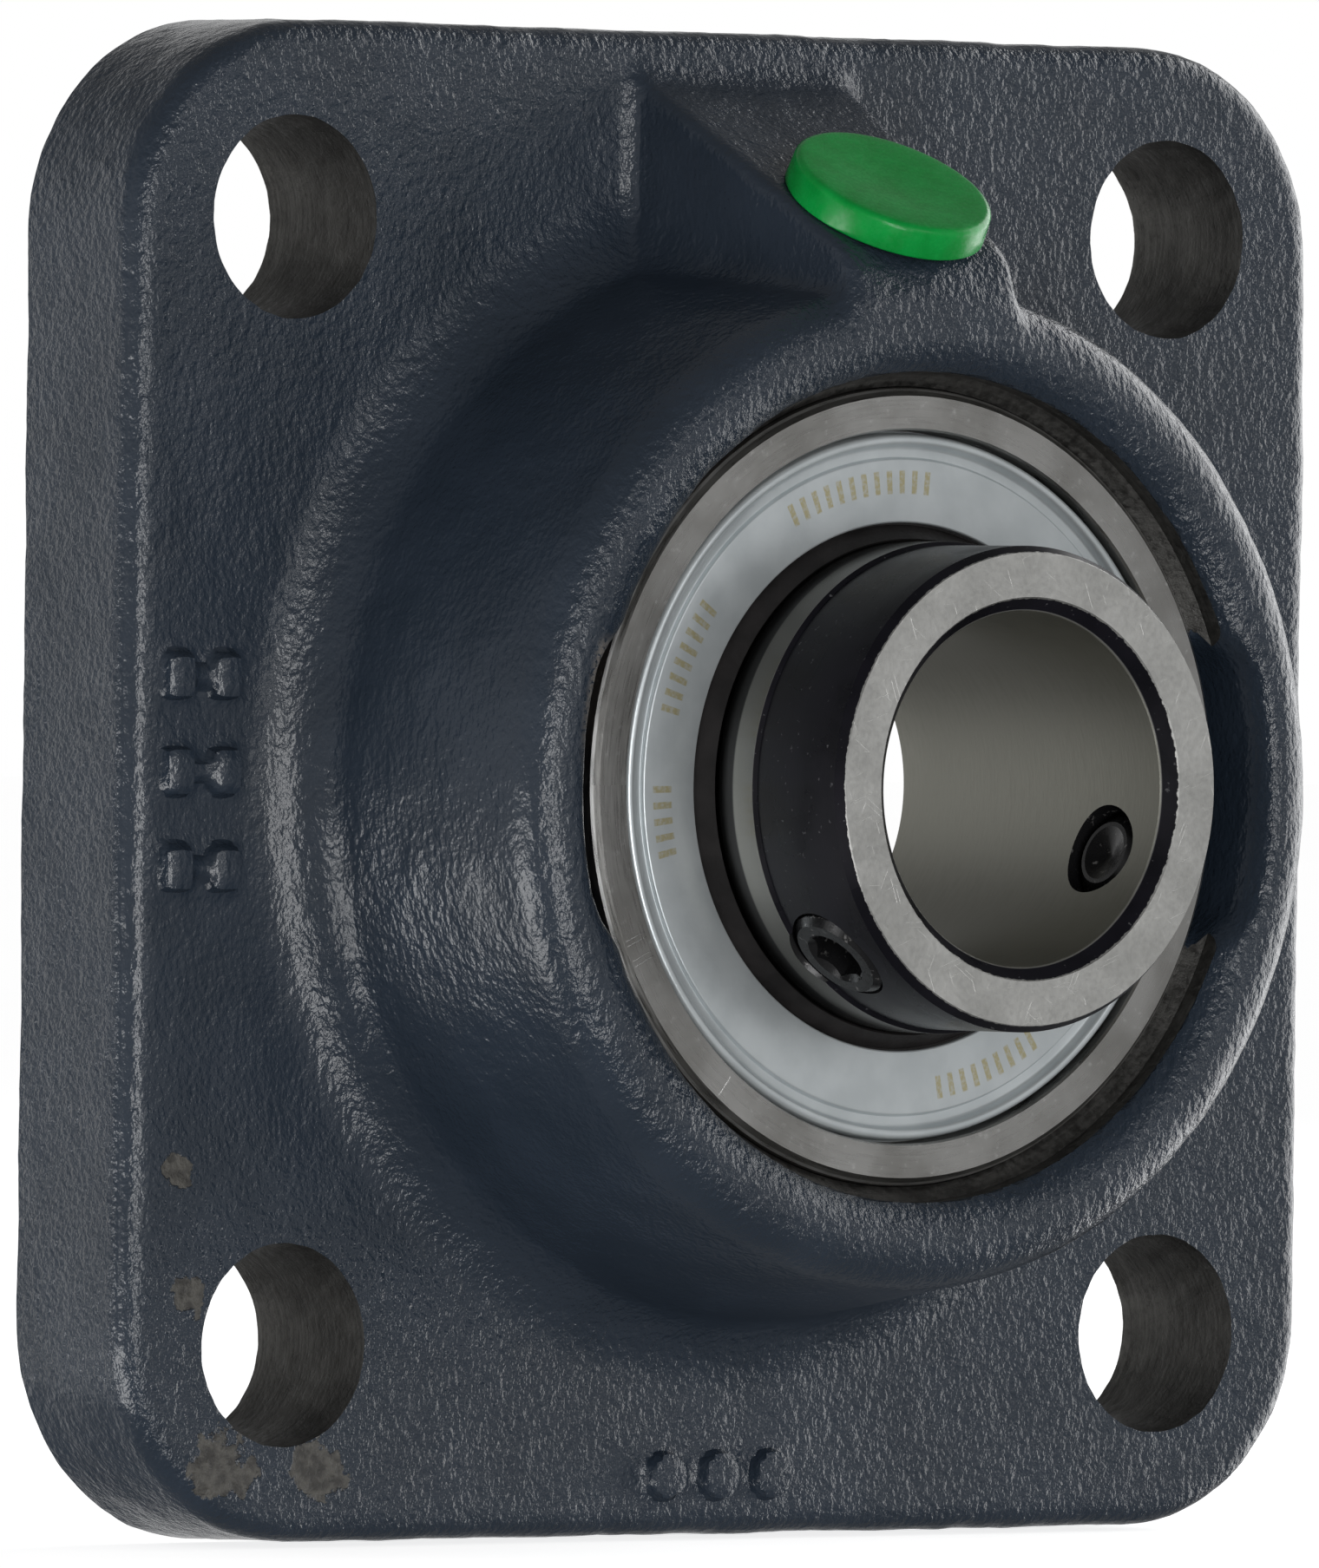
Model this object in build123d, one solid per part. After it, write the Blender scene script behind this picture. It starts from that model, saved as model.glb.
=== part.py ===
from build123d import *
import os
from math import asin, cos, degrees, radians, sqrt, tan

# Square flange mount bearing. Millimetres.
#
# Row frame: origin on the shaft axis in the plane of the mounting face, +Z up, +X to
# the right as seen from the front, and the bearing faces -Y.
#
# Every piece is drawn in a bench frame, with the shaft axis along the bench's z, and
# stood up at the end. In the bench frame x is to the right, y is up, and z is the
# depth: the distance in front of the mounting face.
STAND_UP = Rot(90, 0, 0)

# Flange
FLANGE_SIDE = 86.0
FLANGE_THICKNESS = 10.0
FLANGE_CORNER_RADIUS = 12.3
FLANGE_FRONT_EDGE_RADIUS = 2.2
FLANGE_BACK_EDGE_CHAMFER = 0.5
BOLT_SPACING = 63.5
BOLT_HOLE_RADIUS = 5.75

# Hub: a drafted tube that ends in a round lip
LIP_CENTRE_RADIUS = 25.76
LIP_CENTRE_DEPTH = 25.7
LIP_TUBE_RADIUS = 2.8
HUB_DRAFT_DEG = 9.2
HUB_FOOT_FILLET = 5.0

# Seat of the insert bearing, and the cast hollow behind it
SEAT_CENTRE_DEPTH = 19.1
SEAT_CLEARANCE = 0.03
SEAT_HALF_WIDTH = 6.3
MOUTH_RADIUS = 23.1
MOUTH_CHAMFER_DEPTH = 0.8
REAR_HOLLOW_RADIUS = 26.2
REAR_HOLLOW_DEPTH = 8.8
REAR_HOLLOW_DRAFT_DEG = 8.0
REAR_NECK_DEPTH = 11.4
LOADING_SLOT_HALF_WIDTH = 8.7
LOADING_SLOT_FLOOR_RADIUS = 23.9
LOADING_SLOT_MOUTH_RADIUS = 25.3
GREASE_GROOVE_WIDTH = 4.4
GREASE_GROOVE_HEIGHT = 0.6
GREASE_GROOVE_OFFSET = -2.2
GREASE_GROOVE_CUT_RADIUS = 20.0

# Grease boss: a drafted block whose top is a plateau that leans towards the front
PORT_TILT_DEG = 30.0
PORT_FACE_HEIGHT = 32.7
PORT_FACE_DEPTH = 23.3
BOSS_HALF_WIDTH_AT_BACK = 8.86
BOSS_DRAFT_DEG = 5.8
BOSS_FRONT_DEPTH = 28.3
BOSS_ROOT = 1.5
BOSS_FRONT_RADIUS = 3.5
BOSS_RIDGE_RADIUS = 0.9
PORT_MINOR_RADIUS = 4.3
PORT_THREAD_HEIGHT = 0.35
PORT_THREAD_PITCH = 0.907
PORT_THREAD_TURNS = 7
PORT_CHANNEL_RADIUS = 1.5
PORT_CHANNEL_LENGTH = 12.0
PORT_CUT_HEIGHT = 5.0

# Raised foundry marks on the flange: plain bars at the left, plain pips at the bottom
MARK_HEIGHT = 0.7
MARK_ROOT = 0.5
BAR_CENTRE_X = -38.2
BAR_CENTRE_Y = 0.5
BAR_PITCH = 5.4
BAR_SIZE = (5.2, 2.4)
PIP_CENTRE_X = -0.8
PIP_CENTRE_Y = -39.5
PIP_PITCH = 3.8
PIP_RADIUS = 1.35

# Insert bearing
OUTER_SPHERE_RADIUS = 23.5
OUTER_RING_WIDTH = 14.0
OUTER_RING_FACE_RADIUS = 22.14
OUTER_RING_EDGE_CHAMFER = 0.4
OUTER_SHOULDER_RADIUS = 19.4
SEAL_SEAT_RADIUS = 20.2
SEAL_SEAT_START = 4.8
SEAL_SEAT_CHAMFER = (0.1, 0.15)
LUBRICATION_HOLE_RADIUS = 0.75
LUBRICATION_HOLE_OFFSET = -3.9

BALL_COUNT = 8
BALL_DIAMETER = 7.938
BALL_PITCH_RADIUS = 16.65
BALL_RACE_GAP = 0.03
RACE_GROOVE_RADIUS = 4.09

SHAFT_RADIUS = 10.0
INNER_RING_LAND_RADIUS = 13.9
INNER_RING_COLLAR_RADIUS = 13.68
INNER_RING_REAR = -7.0
INNER_RING_FRONT = 18.0
COLLAR_START = 10.5
COLLAR_STEP_LENGTH = 0.2
COLLAR_CHAMFER = (0.38, 0.6)
FRONT_BORE_CHAMFER = 0.8
REAR_BORE_CHAMFER = 1.1
REAR_LAND_CHAMFER = 0.35

CAGE_INNER_RADIUS = 15.2
CAGE_OUTER_RADIUS = 18.2
CAGE_REAR = -4.55
CAGE_FRONT = 2.4
CAGE_POCKET_GAP = 0.09
CAGE_NOTCH = (2.4, 3.0)

# Seals. Offsets along the axis are counted from the centre of the balls.
WASHER_RIM_RADIUS = 20.13
INNER_WASHER_BORE_RADIUS = 15.4
INNER_WASHER_END = 5.2
OUTER_WASHER_BORE_RADIUS = 14.95
OUTER_WASHER_START = 5.95
OUTER_WASHER_END = 6.4
WASHER_BEAD_RADIUS = 0.85
RUBBER_RIM_RADIUS = 19.9
LIP_GAP = 0.03
LIP_TIP = 0.12
LIP_UNDERSIDE = (0.25, 0.75)
LIP_ROOT_FRONT_STEP = 0.1
LIP_ROOT_BACK_STEP = 0.3
FRONT_LIP_END = 7.1
REAR_LIP_END = 6.3

# Set screws, M6 x 0.75. Lengths along a screw are radii from the shaft axis.
SET_SCREW_DEPTH = 31.9
SET_SCREW_ANGLES = (224.5, 339.5)
SCREW_CREST_RADIUS = 2.97
SCREW_ROOT_RADIUS = 2.72
SCREW_THREAD_PITCH = 0.75
SCREW_OUTER_END = 13.75
SCREW_END_CHAMFER = 0.4
SCREW_CONE_START = 11.35
SCREW_TIP = 10.25
SCREW_TIP_RADIUS = 1.85
SCREW_CUP_RADIUS = 1.6
SCREW_CUP_HEIGHT = 0.6
SOCKET_ACROSS_FLATS = 3.0
SOCKET_FLOOR = 12.0
SOCKET_DRILL_POINT = 0.5
SOCKET_MOUTH_CHAMFER = 0.35
TAPPED_HOLE_TIP_RADIUS = 2.65
TAPPED_HOLE_LEDGE = 10.75
TAPPED_HOLE_MINOR_RADIUS = 3.02
TAPPED_HOLE_MAJOR_RADIUS = 3.2
TAPPED_HOLE_TURNS = 6

# Grease plug
PLUG_HEAD_RADIUS = 5.95
PLUG_HEAD_HEIGHT = 1.9
PLUG_HEAD_EDGE_RADIUS = 0.3
PLUG_DISH_RADIUS = 4.7
PLUG_DISH_HEIGHT = 0.12
PLUG_STEM_RADIUS = 3.9
PLUG_STEM_LENGTH = 5.6
PLUG_BARB_RADIUS = 4.26
PLUG_BARB_PITCH = 1.5
PLUG_BARB_COUNT = 3
PLUG_BARB_CREST = 0.7
PLUG_BARB_END = 0.8
PLUG_STEM_END_CHAMFER = 0.4
PLUG_STEM_OVERLAP = 0.1
PLUG_FLOOR = 0.6
PLUG_WALL = 1.1

BIG = 60.0


def circle_height(radius, distance):
    """Height of a circle above its centre line, at a distance from its centre."""
    return sqrt(radius**2 - distance**2)


def lathe(*edges):
    """Solid turned about the bench's z axis from edges given as (radius, z)."""
    outline = make_face(Curve() + list(edges))
    return revolve(Plane.XZ * outline, Axis.Z)


def turned(*points):
    """Solid turned about the bench's z axis from the corners of its outline."""
    return lathe(Polyline(*points, close=True))


def zigzag(inner_radius, outer_radius, start, pitch, turns):
    """Points of a threaded wall's section, as plain rings one pitch apart."""
    points = []
    for turn in range(turns):
        points.append((inner_radius, start + turn * pitch))
        points.append((outer_radius, start + (turn + 0.5) * pitch))
    points.append((inner_radius, start + turns * pitch))
    return points


def radial(angle_deg, depth):
    """Placement whose z axis points outwards from the shaft axis at an angle."""
    return Pos(0, 0, depth) * Rot(0, 0, angle_deg) * Rot(0, 90, 0)


def port_axis():
    """Placement at the centre of the plateau, with z straight out of the port."""
    return Pos(0, PORT_FACE_HEIGHT, PORT_FACE_DEPTH) * Rot(PORT_TILT_DEG - 90, 0, 0)


# ---------------------------------------------------------------- housing


def flange():
    plate = extrude(
        RectangleRounded(FLANGE_SIDE, FLANGE_SIDE, FLANGE_CORNER_RADIUS),
        FLANGE_THICKNESS,
    )
    front_edges = plate.faces().sort_by(Axis.Z)[-1].edges()
    plate = fillet(front_edges, FLANGE_FRONT_EDGE_RADIUS)
    back_edges = plate.faces().sort_by(Axis.Z)[0].edges()
    return chamfer(back_edges, FLANGE_BACK_EDGE_CHAMFER)


def hub():
    """Solid hub: concave foot, drafted wall, round lip."""
    draft = radians(HUB_DRAFT_DEG)
    wall_radius = LIP_CENTRE_RADIUS + LIP_TUBE_RADIUS
    fillet_depth = FLANGE_THICKNESS + HUB_FOOT_FILLET
    wall_at_fillet = wall_radius + (LIP_CENTRE_DEPTH - fillet_depth) * tan(draft)
    foot_radius = wall_at_fillet + HUB_FOOT_FILLET / cos(draft)
    fillet_centre = (foot_radius, fillet_depth)
    foot = CenterArc(fillet_centre, HUB_FOOT_FILLET, 180 + HUB_DRAFT_DEG, 90 - HUB_DRAFT_DEG)
    lip_centre = (LIP_CENTRE_RADIUS, LIP_CENTRE_DEPTH)
    lip = CenterArc(lip_centre, LIP_TUBE_RADIUS, HUB_DRAFT_DEG, 180 - HUB_DRAFT_DEG)
    root_depth = FLANGE_THICKNESS / 2
    inside = Polyline(
        lip @ 1,
        (0, LIP_CENTRE_DEPTH),
        (0, root_depth),
        (foot_radius, root_depth),
        foot @ 1,
    )
    return lathe(foot, Line(foot @ 0, lip @ 0), lip, inside)


def grease_boss():
    """Block under the grease plug: leaning plateau, round nose, drafted sides."""
    slope = tan(radians(PORT_TILT_DEG))
    root_depth = FLANGE_THICKNESS - BOSS_ROOT
    top_at_root = PORT_FACE_HEIGHT + (PORT_FACE_DEPTH - root_depth) * slope
    top_at_front = PORT_FACE_HEIGHT + (PORT_FACE_DEPTH - BOSS_FRONT_DEPTH) * slope
    section = Polyline(
        (LIP_CENTRE_RADIUS, root_depth),
        (top_at_root, root_depth),
        (top_at_front, BOSS_FRONT_DEPTH),
        (LIP_CENTRE_RADIUS, BOSS_FRONT_DEPTH),
        close=True,
    )
    prism = extrude(Plane.YZ * make_face(section), BIG / 2, both=True)
    nose = prism.edges().filter_by(Axis.X).sort_by(Axis.Z)[-2:].sort_by(Axis.Y)[-1]
    prism = fillet(nose, BOSS_FRONT_RADIUS)
    footprint = Rectangle(2 * BOSS_HALF_WIDTH_AT_BACK, 3 * BIG)
    sides = extrude(footprint, BIG / 2, taper=BOSS_DRAFT_DEG)
    block = prism & sides
    plateau = block.faces().sort_by(Axis.Y)[-1]
    ridges = [edge for edge in plateau.edges() if abs(edge.center().X) > 1]
    return fillet(ridges, BOSS_RIDGE_RADIUS)


def foundry_marks():
    marks = []
    root_depth = FLANGE_THICKNESS - MARK_ROOT
    for step in (-1, 0, 1):
        bar = extrude(Rectangle(*BAR_SIZE), MARK_ROOT + MARK_HEIGHT)
        bar_y = BAR_CENTRE_Y + step * BAR_PITCH
        marks.append(Pos(BAR_CENTRE_X, bar_y, root_depth) * bar)
        pip = extrude(Circle(PIP_RADIUS), MARK_ROOT + MARK_HEIGHT)
        pip_x = PIP_CENTRE_X + step * PIP_PITCH
        marks.append(Pos(pip_x, PIP_CENTRE_Y, root_depth) * pip)
    return marks


def seat_bore():
    """Everything that is cut about the shaft axis, from the back to the mouth."""
    seat_radius = OUTER_SPHERE_RADIUS + SEAT_CLEARANCE
    edge_radius = circle_height(seat_radius, SEAT_HALF_WIDTH)
    rear_edge = SEAT_CENTRE_DEPTH - SEAT_HALF_WIDTH
    front_edge = SEAT_CENTRE_DEPTH + SEAT_HALF_WIDTH
    seat_angle = degrees(asin(SEAT_HALF_WIDTH / seat_radius))
    seat = CenterArc((0, SEAT_CENTRE_DEPTH), seat_radius, -seat_angle, 2 * seat_angle)
    hollow_narrowing = REAR_HOLLOW_DEPTH * tan(radians(REAR_HOLLOW_DRAFT_DEG))
    return lathe(
        seat,
        Polyline(
            (edge_radius, front_edge),
            (MOUTH_RADIUS, front_edge + MOUTH_CHAMFER_DEPTH),
            (MOUTH_RADIUS, BIG),
            (0, BIG),
            (0, -1),
            (REAR_HOLLOW_RADIUS, -1),
            (REAR_HOLLOW_RADIUS, 0),
            (REAR_HOLLOW_RADIUS - hollow_narrowing, REAR_HOLLOW_DEPTH),
            (edge_radius, REAR_NECK_DEPTH),
            (edge_radius, rear_edge),
        ),
    )


def grease_groove():
    centre = SEAT_CENTRE_DEPTH + GREASE_GROOVE_OFFSET
    low = centre - GREASE_GROOVE_WIDTH / 2
    high = centre + GREASE_GROOVE_WIDTH / 2
    radius = OUTER_SPHERE_RADIUS + GREASE_GROOVE_HEIGHT
    inner = GREASE_GROOVE_CUT_RADIUS
    return turned((inner, low), (radius, low), (radius, high), (inner, high))


def loading_slots():
    """Two opposite slots, through which the insert goes in edge-on."""
    cone = turned(
        (0, SEAT_CENTRE_DEPTH),
        (LOADING_SLOT_FLOOR_RADIUS, SEAT_CENTRE_DEPTH),
        (LOADING_SLOT_MOUTH_RADIUS, LIP_CENTRE_DEPTH + LIP_TUBE_RADIUS),
        (LOADING_SLOT_MOUTH_RADIUS, BIG),
        (0, BIG),
    )
    return cone & Box(2 * BIG, 2 * LOADING_SLOT_HALF_WIDTH, 4 * BIG)


def grease_port():
    thread_length = PORT_THREAD_PITCH * PORT_THREAD_TURNS
    major_radius = PORT_MINOR_RADIUS + PORT_THREAD_HEIGHT
    wall = zigzag(
        PORT_MINOR_RADIUS,
        major_radius,
        -thread_length,
        PORT_THREAD_PITCH,
        PORT_THREAD_TURNS,
    )
    drill_point = -thread_length - PORT_MINOR_RADIUS / 2
    tapped = turned(
        (0, drill_point),
        *wall,
        (PORT_MINOR_RADIUS, PORT_CUT_HEIGHT),
        (0, PORT_CUT_HEIGHT),
    )
    channel = Cylinder(PORT_CHANNEL_RADIUS, PORT_CHANNEL_LENGTH)
    channel = Pos(0, 0, -PORT_CHANNEL_LENGTH / 2) * channel
    return port_axis() * (tapped + channel)


def housing():
    body = flange() + hub() + grease_boss()
    for mark in foundry_marks():
        body += mark
    body -= seat_bore()
    body -= grease_groove()
    body -= loading_slots()
    body -= grease_port()
    for hole in GridLocations(BOLT_SPACING, BOLT_SPACING, 2, 2):
        body -= hole * Cylinder(BOLT_HOLE_RADIUS, BIG)
    return body


# ---------------------------------------------------------------- grease plug


def grease_plug():
    """Plastic plug: a dished head on a hollow, barbed stem."""
    head_edge = PLUG_HEAD_RADIUS - PLUG_HEAD_EDGE_RADIUS
    top = PLUG_HEAD_HEIGHT
    corner_centre = (head_edge, top - PLUG_HEAD_EDGE_RADIUS)
    corner = CenterArc(corner_centre, PLUG_HEAD_EDGE_RADIUS, 0, 90)
    head = lathe(
        corner,
        Polyline(
            (head_edge, top),
            (PLUG_DISH_RADIUS + PLUG_DISH_HEIGHT, top),
            (PLUG_DISH_RADIUS, top - PLUG_DISH_HEIGHT),
            (0, top - PLUG_DISH_HEIGHT),
            (0, 0),
            (PLUG_HEAD_RADIUS, 0),
            (PLUG_HEAD_RADIUS, top - PLUG_HEAD_EDGE_RADIUS),
        ),
    )
    barb_start = -PLUG_STEM_LENGTH + PLUG_STEM_END_CHAMFER
    barbs = []
    for barb in range(PLUG_BARB_COUNT):
        foot = barb_start + barb * PLUG_BARB_PITCH
        barbs.append((PLUG_STEM_RADIUS, foot))
        barbs.append((PLUG_BARB_RADIUS, foot + PLUG_BARB_CREST * PLUG_BARB_PITCH))
        barbs.append((PLUG_STEM_RADIUS, foot + PLUG_BARB_END * PLUG_BARB_PITCH))
    hollow_radius = PLUG_STEM_RADIUS - PLUG_WALL
    stem = turned(
        (0, PLUG_STEM_OVERLAP),
        (0, -PLUG_FLOOR),
        (hollow_radius, -PLUG_FLOOR),
        (hollow_radius, -PLUG_STEM_LENGTH),
        (PLUG_STEM_RADIUS - PLUG_STEM_END_CHAMFER, -PLUG_STEM_LENGTH),
        *barbs,
        (PLUG_STEM_RADIUS, PLUG_STEM_OVERLAP),
    )
    return port_axis() * (head + stem)


# ---------------------------------------------------------------- insert bearing


def outer_ring():
    half = OUTER_RING_WIDTH / 2
    sphere_end = half - OUTER_RING_EDGE_CHAMFER
    edge_radius = circle_height(OUTER_SPHERE_RADIUS, sphere_end)
    sphere_angle = degrees(asin(sphere_end / OUTER_SPHERE_RADIUS))
    race_centre = BALL_PITCH_RADIUS + BALL_DIAMETER / 2 + BALL_RACE_GAP - RACE_GROOVE_RADIUS
    race_half_width = circle_height(RACE_GROOVE_RADIUS, OUTER_SHOULDER_RADIUS - race_centre)
    race_angle = degrees(asin(race_half_width / RACE_GROOVE_RADIUS))
    sphere = CenterArc((0, 0), OUTER_SPHERE_RADIUS, -sphere_angle, 2 * sphere_angle)
    race = CenterArc((race_centre, 0), RACE_GROOVE_RADIUS, -race_angle, 2 * race_angle)
    chamfer_height, chamfer_length = SEAL_SEAT_CHAMFER
    ends = []
    for side in (-1, 1):
        ends.append(
            Polyline(
                (edge_radius, side * sphere_end),
                (OUTER_RING_FACE_RADIUS, side * half),
                (SEAL_SEAT_RADIUS + chamfer_height, side * half),
                (SEAL_SEAT_RADIUS, side * (half - chamfer_length)),
                (SEAL_SEAT_RADIUS, side * SEAL_SEAT_START),
                (OUTER_SHOULDER_RADIUS, side * SEAL_SEAT_START),
                (OUTER_SHOULDER_RADIUS, side * race_half_width),
            )
        )
    ring = lathe(sphere, race, *ends)
    drill = Cylinder(LUBRICATION_HOLE_RADIUS, 2 * BIG)
    return ring - radial(90, LUBRICATION_HOLE_OFFSET) * drill


def tapped_hole():
    """Cutter for one set screw hole, along z, measured from the shaft axis."""
    wall = zigzag(
        TAPPED_HOLE_MINOR_RADIUS,
        TAPPED_HOLE_MAJOR_RADIUS,
        SCREW_CONE_START,
        SCREW_THREAD_PITCH,
        TAPPED_HOLE_TURNS,
    )
    end = SCREW_CONE_START + TAPPED_HOLE_TURNS * SCREW_THREAD_PITCH
    return turned(
        (0, 0),
        (TAPPED_HOLE_TIP_RADIUS, 0),
        (TAPPED_HOLE_TIP_RADIUS, TAPPED_HOLE_LEDGE),
        (TAPPED_HOLE_MINOR_RADIUS, TAPPED_HOLE_LEDGE),
        *wall,
        (0, end),
    )


def inner_ring():
    race_centre = BALL_PITCH_RADIUS - BALL_DIAMETER / 2 - BALL_RACE_GAP + RACE_GROOVE_RADIUS
    race_half_width = circle_height(RACE_GROOVE_RADIUS, race_centre - INNER_RING_LAND_RADIUS)
    race_angle = degrees(asin(race_half_width / RACE_GROOVE_RADIUS))
    race = CenterArc((race_centre, 0), RACE_GROOVE_RADIUS, 180 - race_angle, 2 * race_angle)
    chamfer_height, chamfer_length = COLLAR_CHAMFER
    wall = Polyline(
        (INNER_RING_LAND_RADIUS, race_half_width),
        (INNER_RING_LAND_RADIUS, COLLAR_START - COLLAR_STEP_LENGTH),
        (INNER_RING_COLLAR_RADIUS, COLLAR_START),
        (INNER_RING_COLLAR_RADIUS, INNER_RING_FRONT - chamfer_length),
        (INNER_RING_COLLAR_RADIUS - chamfer_height, INNER_RING_FRONT),
        (SHAFT_RADIUS + FRONT_BORE_CHAMFER, INNER_RING_FRONT),
        (SHAFT_RADIUS, INNER_RING_FRONT - FRONT_BORE_CHAMFER),
        (SHAFT_RADIUS, INNER_RING_REAR + REAR_BORE_CHAMFER),
        (SHAFT_RADIUS + REAR_BORE_CHAMFER, INNER_RING_REAR),
        (INNER_RING_LAND_RADIUS - REAR_LAND_CHAMFER, INNER_RING_REAR),
        (INNER_RING_LAND_RADIUS, INNER_RING_REAR + REAR_LAND_CHAMFER),
        (INNER_RING_LAND_RADIUS, -race_half_width),
    )
    ring = lathe(race, wall)
    for angle in SET_SCREW_ANGLES:
        ring -= radial(angle, SET_SCREW_DEPTH - SEAT_CENTRE_DEPTH) * tapped_hole()
    return ring


def set_screw(angle):
    """Set screw with a hexagon socket at its outer end and a cup at its tip."""
    chamfer_start = SCREW_OUTER_END - SCREW_END_CHAMFER
    turns = int((chamfer_start - SCREW_CONE_START) / SCREW_THREAD_PITCH)
    thread = zigzag(
        SCREW_CREST_RADIUS,
        SCREW_ROOT_RADIUS,
        SCREW_CONE_START,
        SCREW_THREAD_PITCH,
        turns,
    )
    blank = turned(
        (0, SCREW_TIP + SCREW_CUP_HEIGHT),
        (SCREW_CUP_RADIUS, SCREW_TIP),
        (SCREW_TIP_RADIUS, SCREW_TIP),
        *thread,
        (SCREW_CREST_RADIUS, chamfer_start),
        (SCREW_CREST_RADIUS - SCREW_END_CHAMFER, SCREW_OUTER_END),
        (0, SCREW_OUTER_END),
    )
    hexagon = RegularPolygon(SOCKET_ACROSS_FLATS / 2, 6, major_radius=False)
    socket = Pos(0, 0, SOCKET_FLOOR) * extrude(hexagon, SCREW_OUTER_END)
    inscribed = SOCKET_ACROSS_FLATS / 2
    drill_point = turned(
        (0, SOCKET_FLOOR - SOCKET_DRILL_POINT),
        (inscribed, SOCKET_FLOOR),
        (0, SOCKET_FLOOR),
    )
    mouth_radius = inscribed + SOCKET_MOUTH_CHAMFER
    mouth = turned(
        (0, SCREW_OUTER_END - mouth_radius),
        (mouth_radius, SCREW_OUTER_END),
        (0, SCREW_OUTER_END),
    )
    screw = blank - socket - drill_point - mouth
    return radial(angle, SET_SCREW_DEPTH - SEAT_CENTRE_DEPTH) * screw


def ball(number):
    angle = number * 360 / BALL_COUNT
    return Rot(0, 0, angle) * Pos(BALL_PITCH_RADIUS, 0, 0) * Sphere(BALL_DIAMETER / 2)


def cage():
    """Crown cage: a ring behind the balls, with pockets that are open to the front."""
    ring = turned(
        (CAGE_INNER_RADIUS, CAGE_REAR),
        (CAGE_OUTER_RADIUS, CAGE_REAR),
        (CAGE_OUTER_RADIUS, CAGE_FRONT),
        (CAGE_INNER_RADIUS, CAGE_FRONT),
    )
    notch_width, notch_depth = CAGE_NOTCH
    for number in range(BALL_COUNT):
        angle = number * 360 / BALL_COUNT
        pocket = Pos(BALL_PITCH_RADIUS, 0, 0) * Sphere(BALL_DIAMETER / 2 + CAGE_POCKET_GAP)
        ring -= Rot(0, 0, angle) * pocket
        notch = Box(BALL_PITCH_RADIUS, notch_width, 2 * notch_depth)
        notch = Pos(BALL_PITCH_RADIUS, 0, CAGE_FRONT) * notch
        ring -= Rot(0, 0, angle + 180 / BALL_COUNT) * notch
    return ring


# ---------------------------------------------------------------- seals


def seal_outer_washer():
    """Pressed washer: a flat disc with a round bead at its rim."""
    bead_centre = WASHER_RIM_RADIUS - WASHER_BEAD_RADIUS
    sheet = OUTER_WASHER_END - OUTER_WASHER_START
    disc = turned(
        (OUTER_WASHER_BORE_RADIUS, OUTER_WASHER_START),
        (bead_centre - sheet, OUTER_WASHER_START),
        (bead_centre - sheet, OUTER_WASHER_END),
        (OUTER_WASHER_BORE_RADIUS, OUTER_WASHER_END),
    )
    outside = CenterArc((bead_centre, OUTER_WASHER_START), WASHER_BEAD_RADIUS, 0, 180)
    inside = CenterArc((bead_centre, OUTER_WASHER_START), WASHER_BEAD_RADIUS - sheet, 0, 180)
    rim_end = Line(outside @ 0, inside @ 0)
    disc_end = Line(outside @ 1, inside @ 1)
    bead = lathe(outside, inside, rim_end, disc_end)
    return disc + bead


def seal_lip(lip_end):
    """Rubber disc between the washers, and its lip that rubs on the inner ring."""
    contact = INNER_RING_LAND_RADIUS + LIP_GAP
    underside_height, underside_length = LIP_UNDERSIDE
    return turned(
        (RUBBER_RIM_RADIUS, INNER_WASHER_END),
        (RUBBER_RIM_RADIUS, OUTER_WASHER_START),
        (OUTER_WASHER_BORE_RADIUS - LIP_ROOT_FRONT_STEP, OUTER_WASHER_START),
        (contact + LIP_TIP, lip_end),
        (contact, lip_end - LIP_TIP),
        (contact + underside_height, lip_end - underside_length),
        (OUTER_WASHER_BORE_RADIUS - LIP_ROOT_BACK_STEP, INNER_WASHER_END),
    )


def seal_inner_washer():
    return turned(
        (INNER_WASHER_BORE_RADIUS, SEAL_SEAT_START),
        (WASHER_RIM_RADIUS, SEAL_SEAT_START),
        (WASHER_RIM_RADIUS, INNER_WASHER_END),
        (INNER_WASHER_BORE_RADIUS, INNER_WASHER_END),
    )


def pieces():
    """Every piece by name, in the bench frame."""
    at_seat = Pos(0, 0, SEAT_CENTRE_DEPTH)
    to_rear = at_seat * Rot(180, 0, 0)
    made = {
        "housing": housing(),
        "grease_plug": grease_plug(),
        "outer_ring": at_seat * outer_ring(),
        "inner_ring": at_seat * inner_ring(),
        "cage": at_seat * cage(),
        "front_seal_outer_washer": at_seat * seal_outer_washer(),
        "front_seal_lip": at_seat * seal_lip(FRONT_LIP_END),
        "front_seal_inner_washer": at_seat * seal_inner_washer(),
        "rear_seal_outer_washer": to_rear * seal_outer_washer(),
        "rear_seal_lip": to_rear * seal_lip(REAR_LIP_END),
        "rear_seal_inner_washer": to_rear * seal_inner_washer(),
    }
    for number in range(BALL_COUNT):
        made[f"ball_{number + 1}"] = at_seat * ball(number)
    for number, angle in enumerate(SET_SCREW_ANGLES):
        made[f"set_screw_{number + 1}"] = at_seat * set_screw(angle)
    return made


os.makedirs("parts", exist_ok=True)
for name, piece in pieces().items():
    export_step(STAND_UP * piece, f"parts/{name}.step")
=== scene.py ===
from math import asin, cos, degrees, pi, radians, sin, tan

import bmesh
import bpy
import numpy as np
from mathutils import Matrix, Vector, noise


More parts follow.
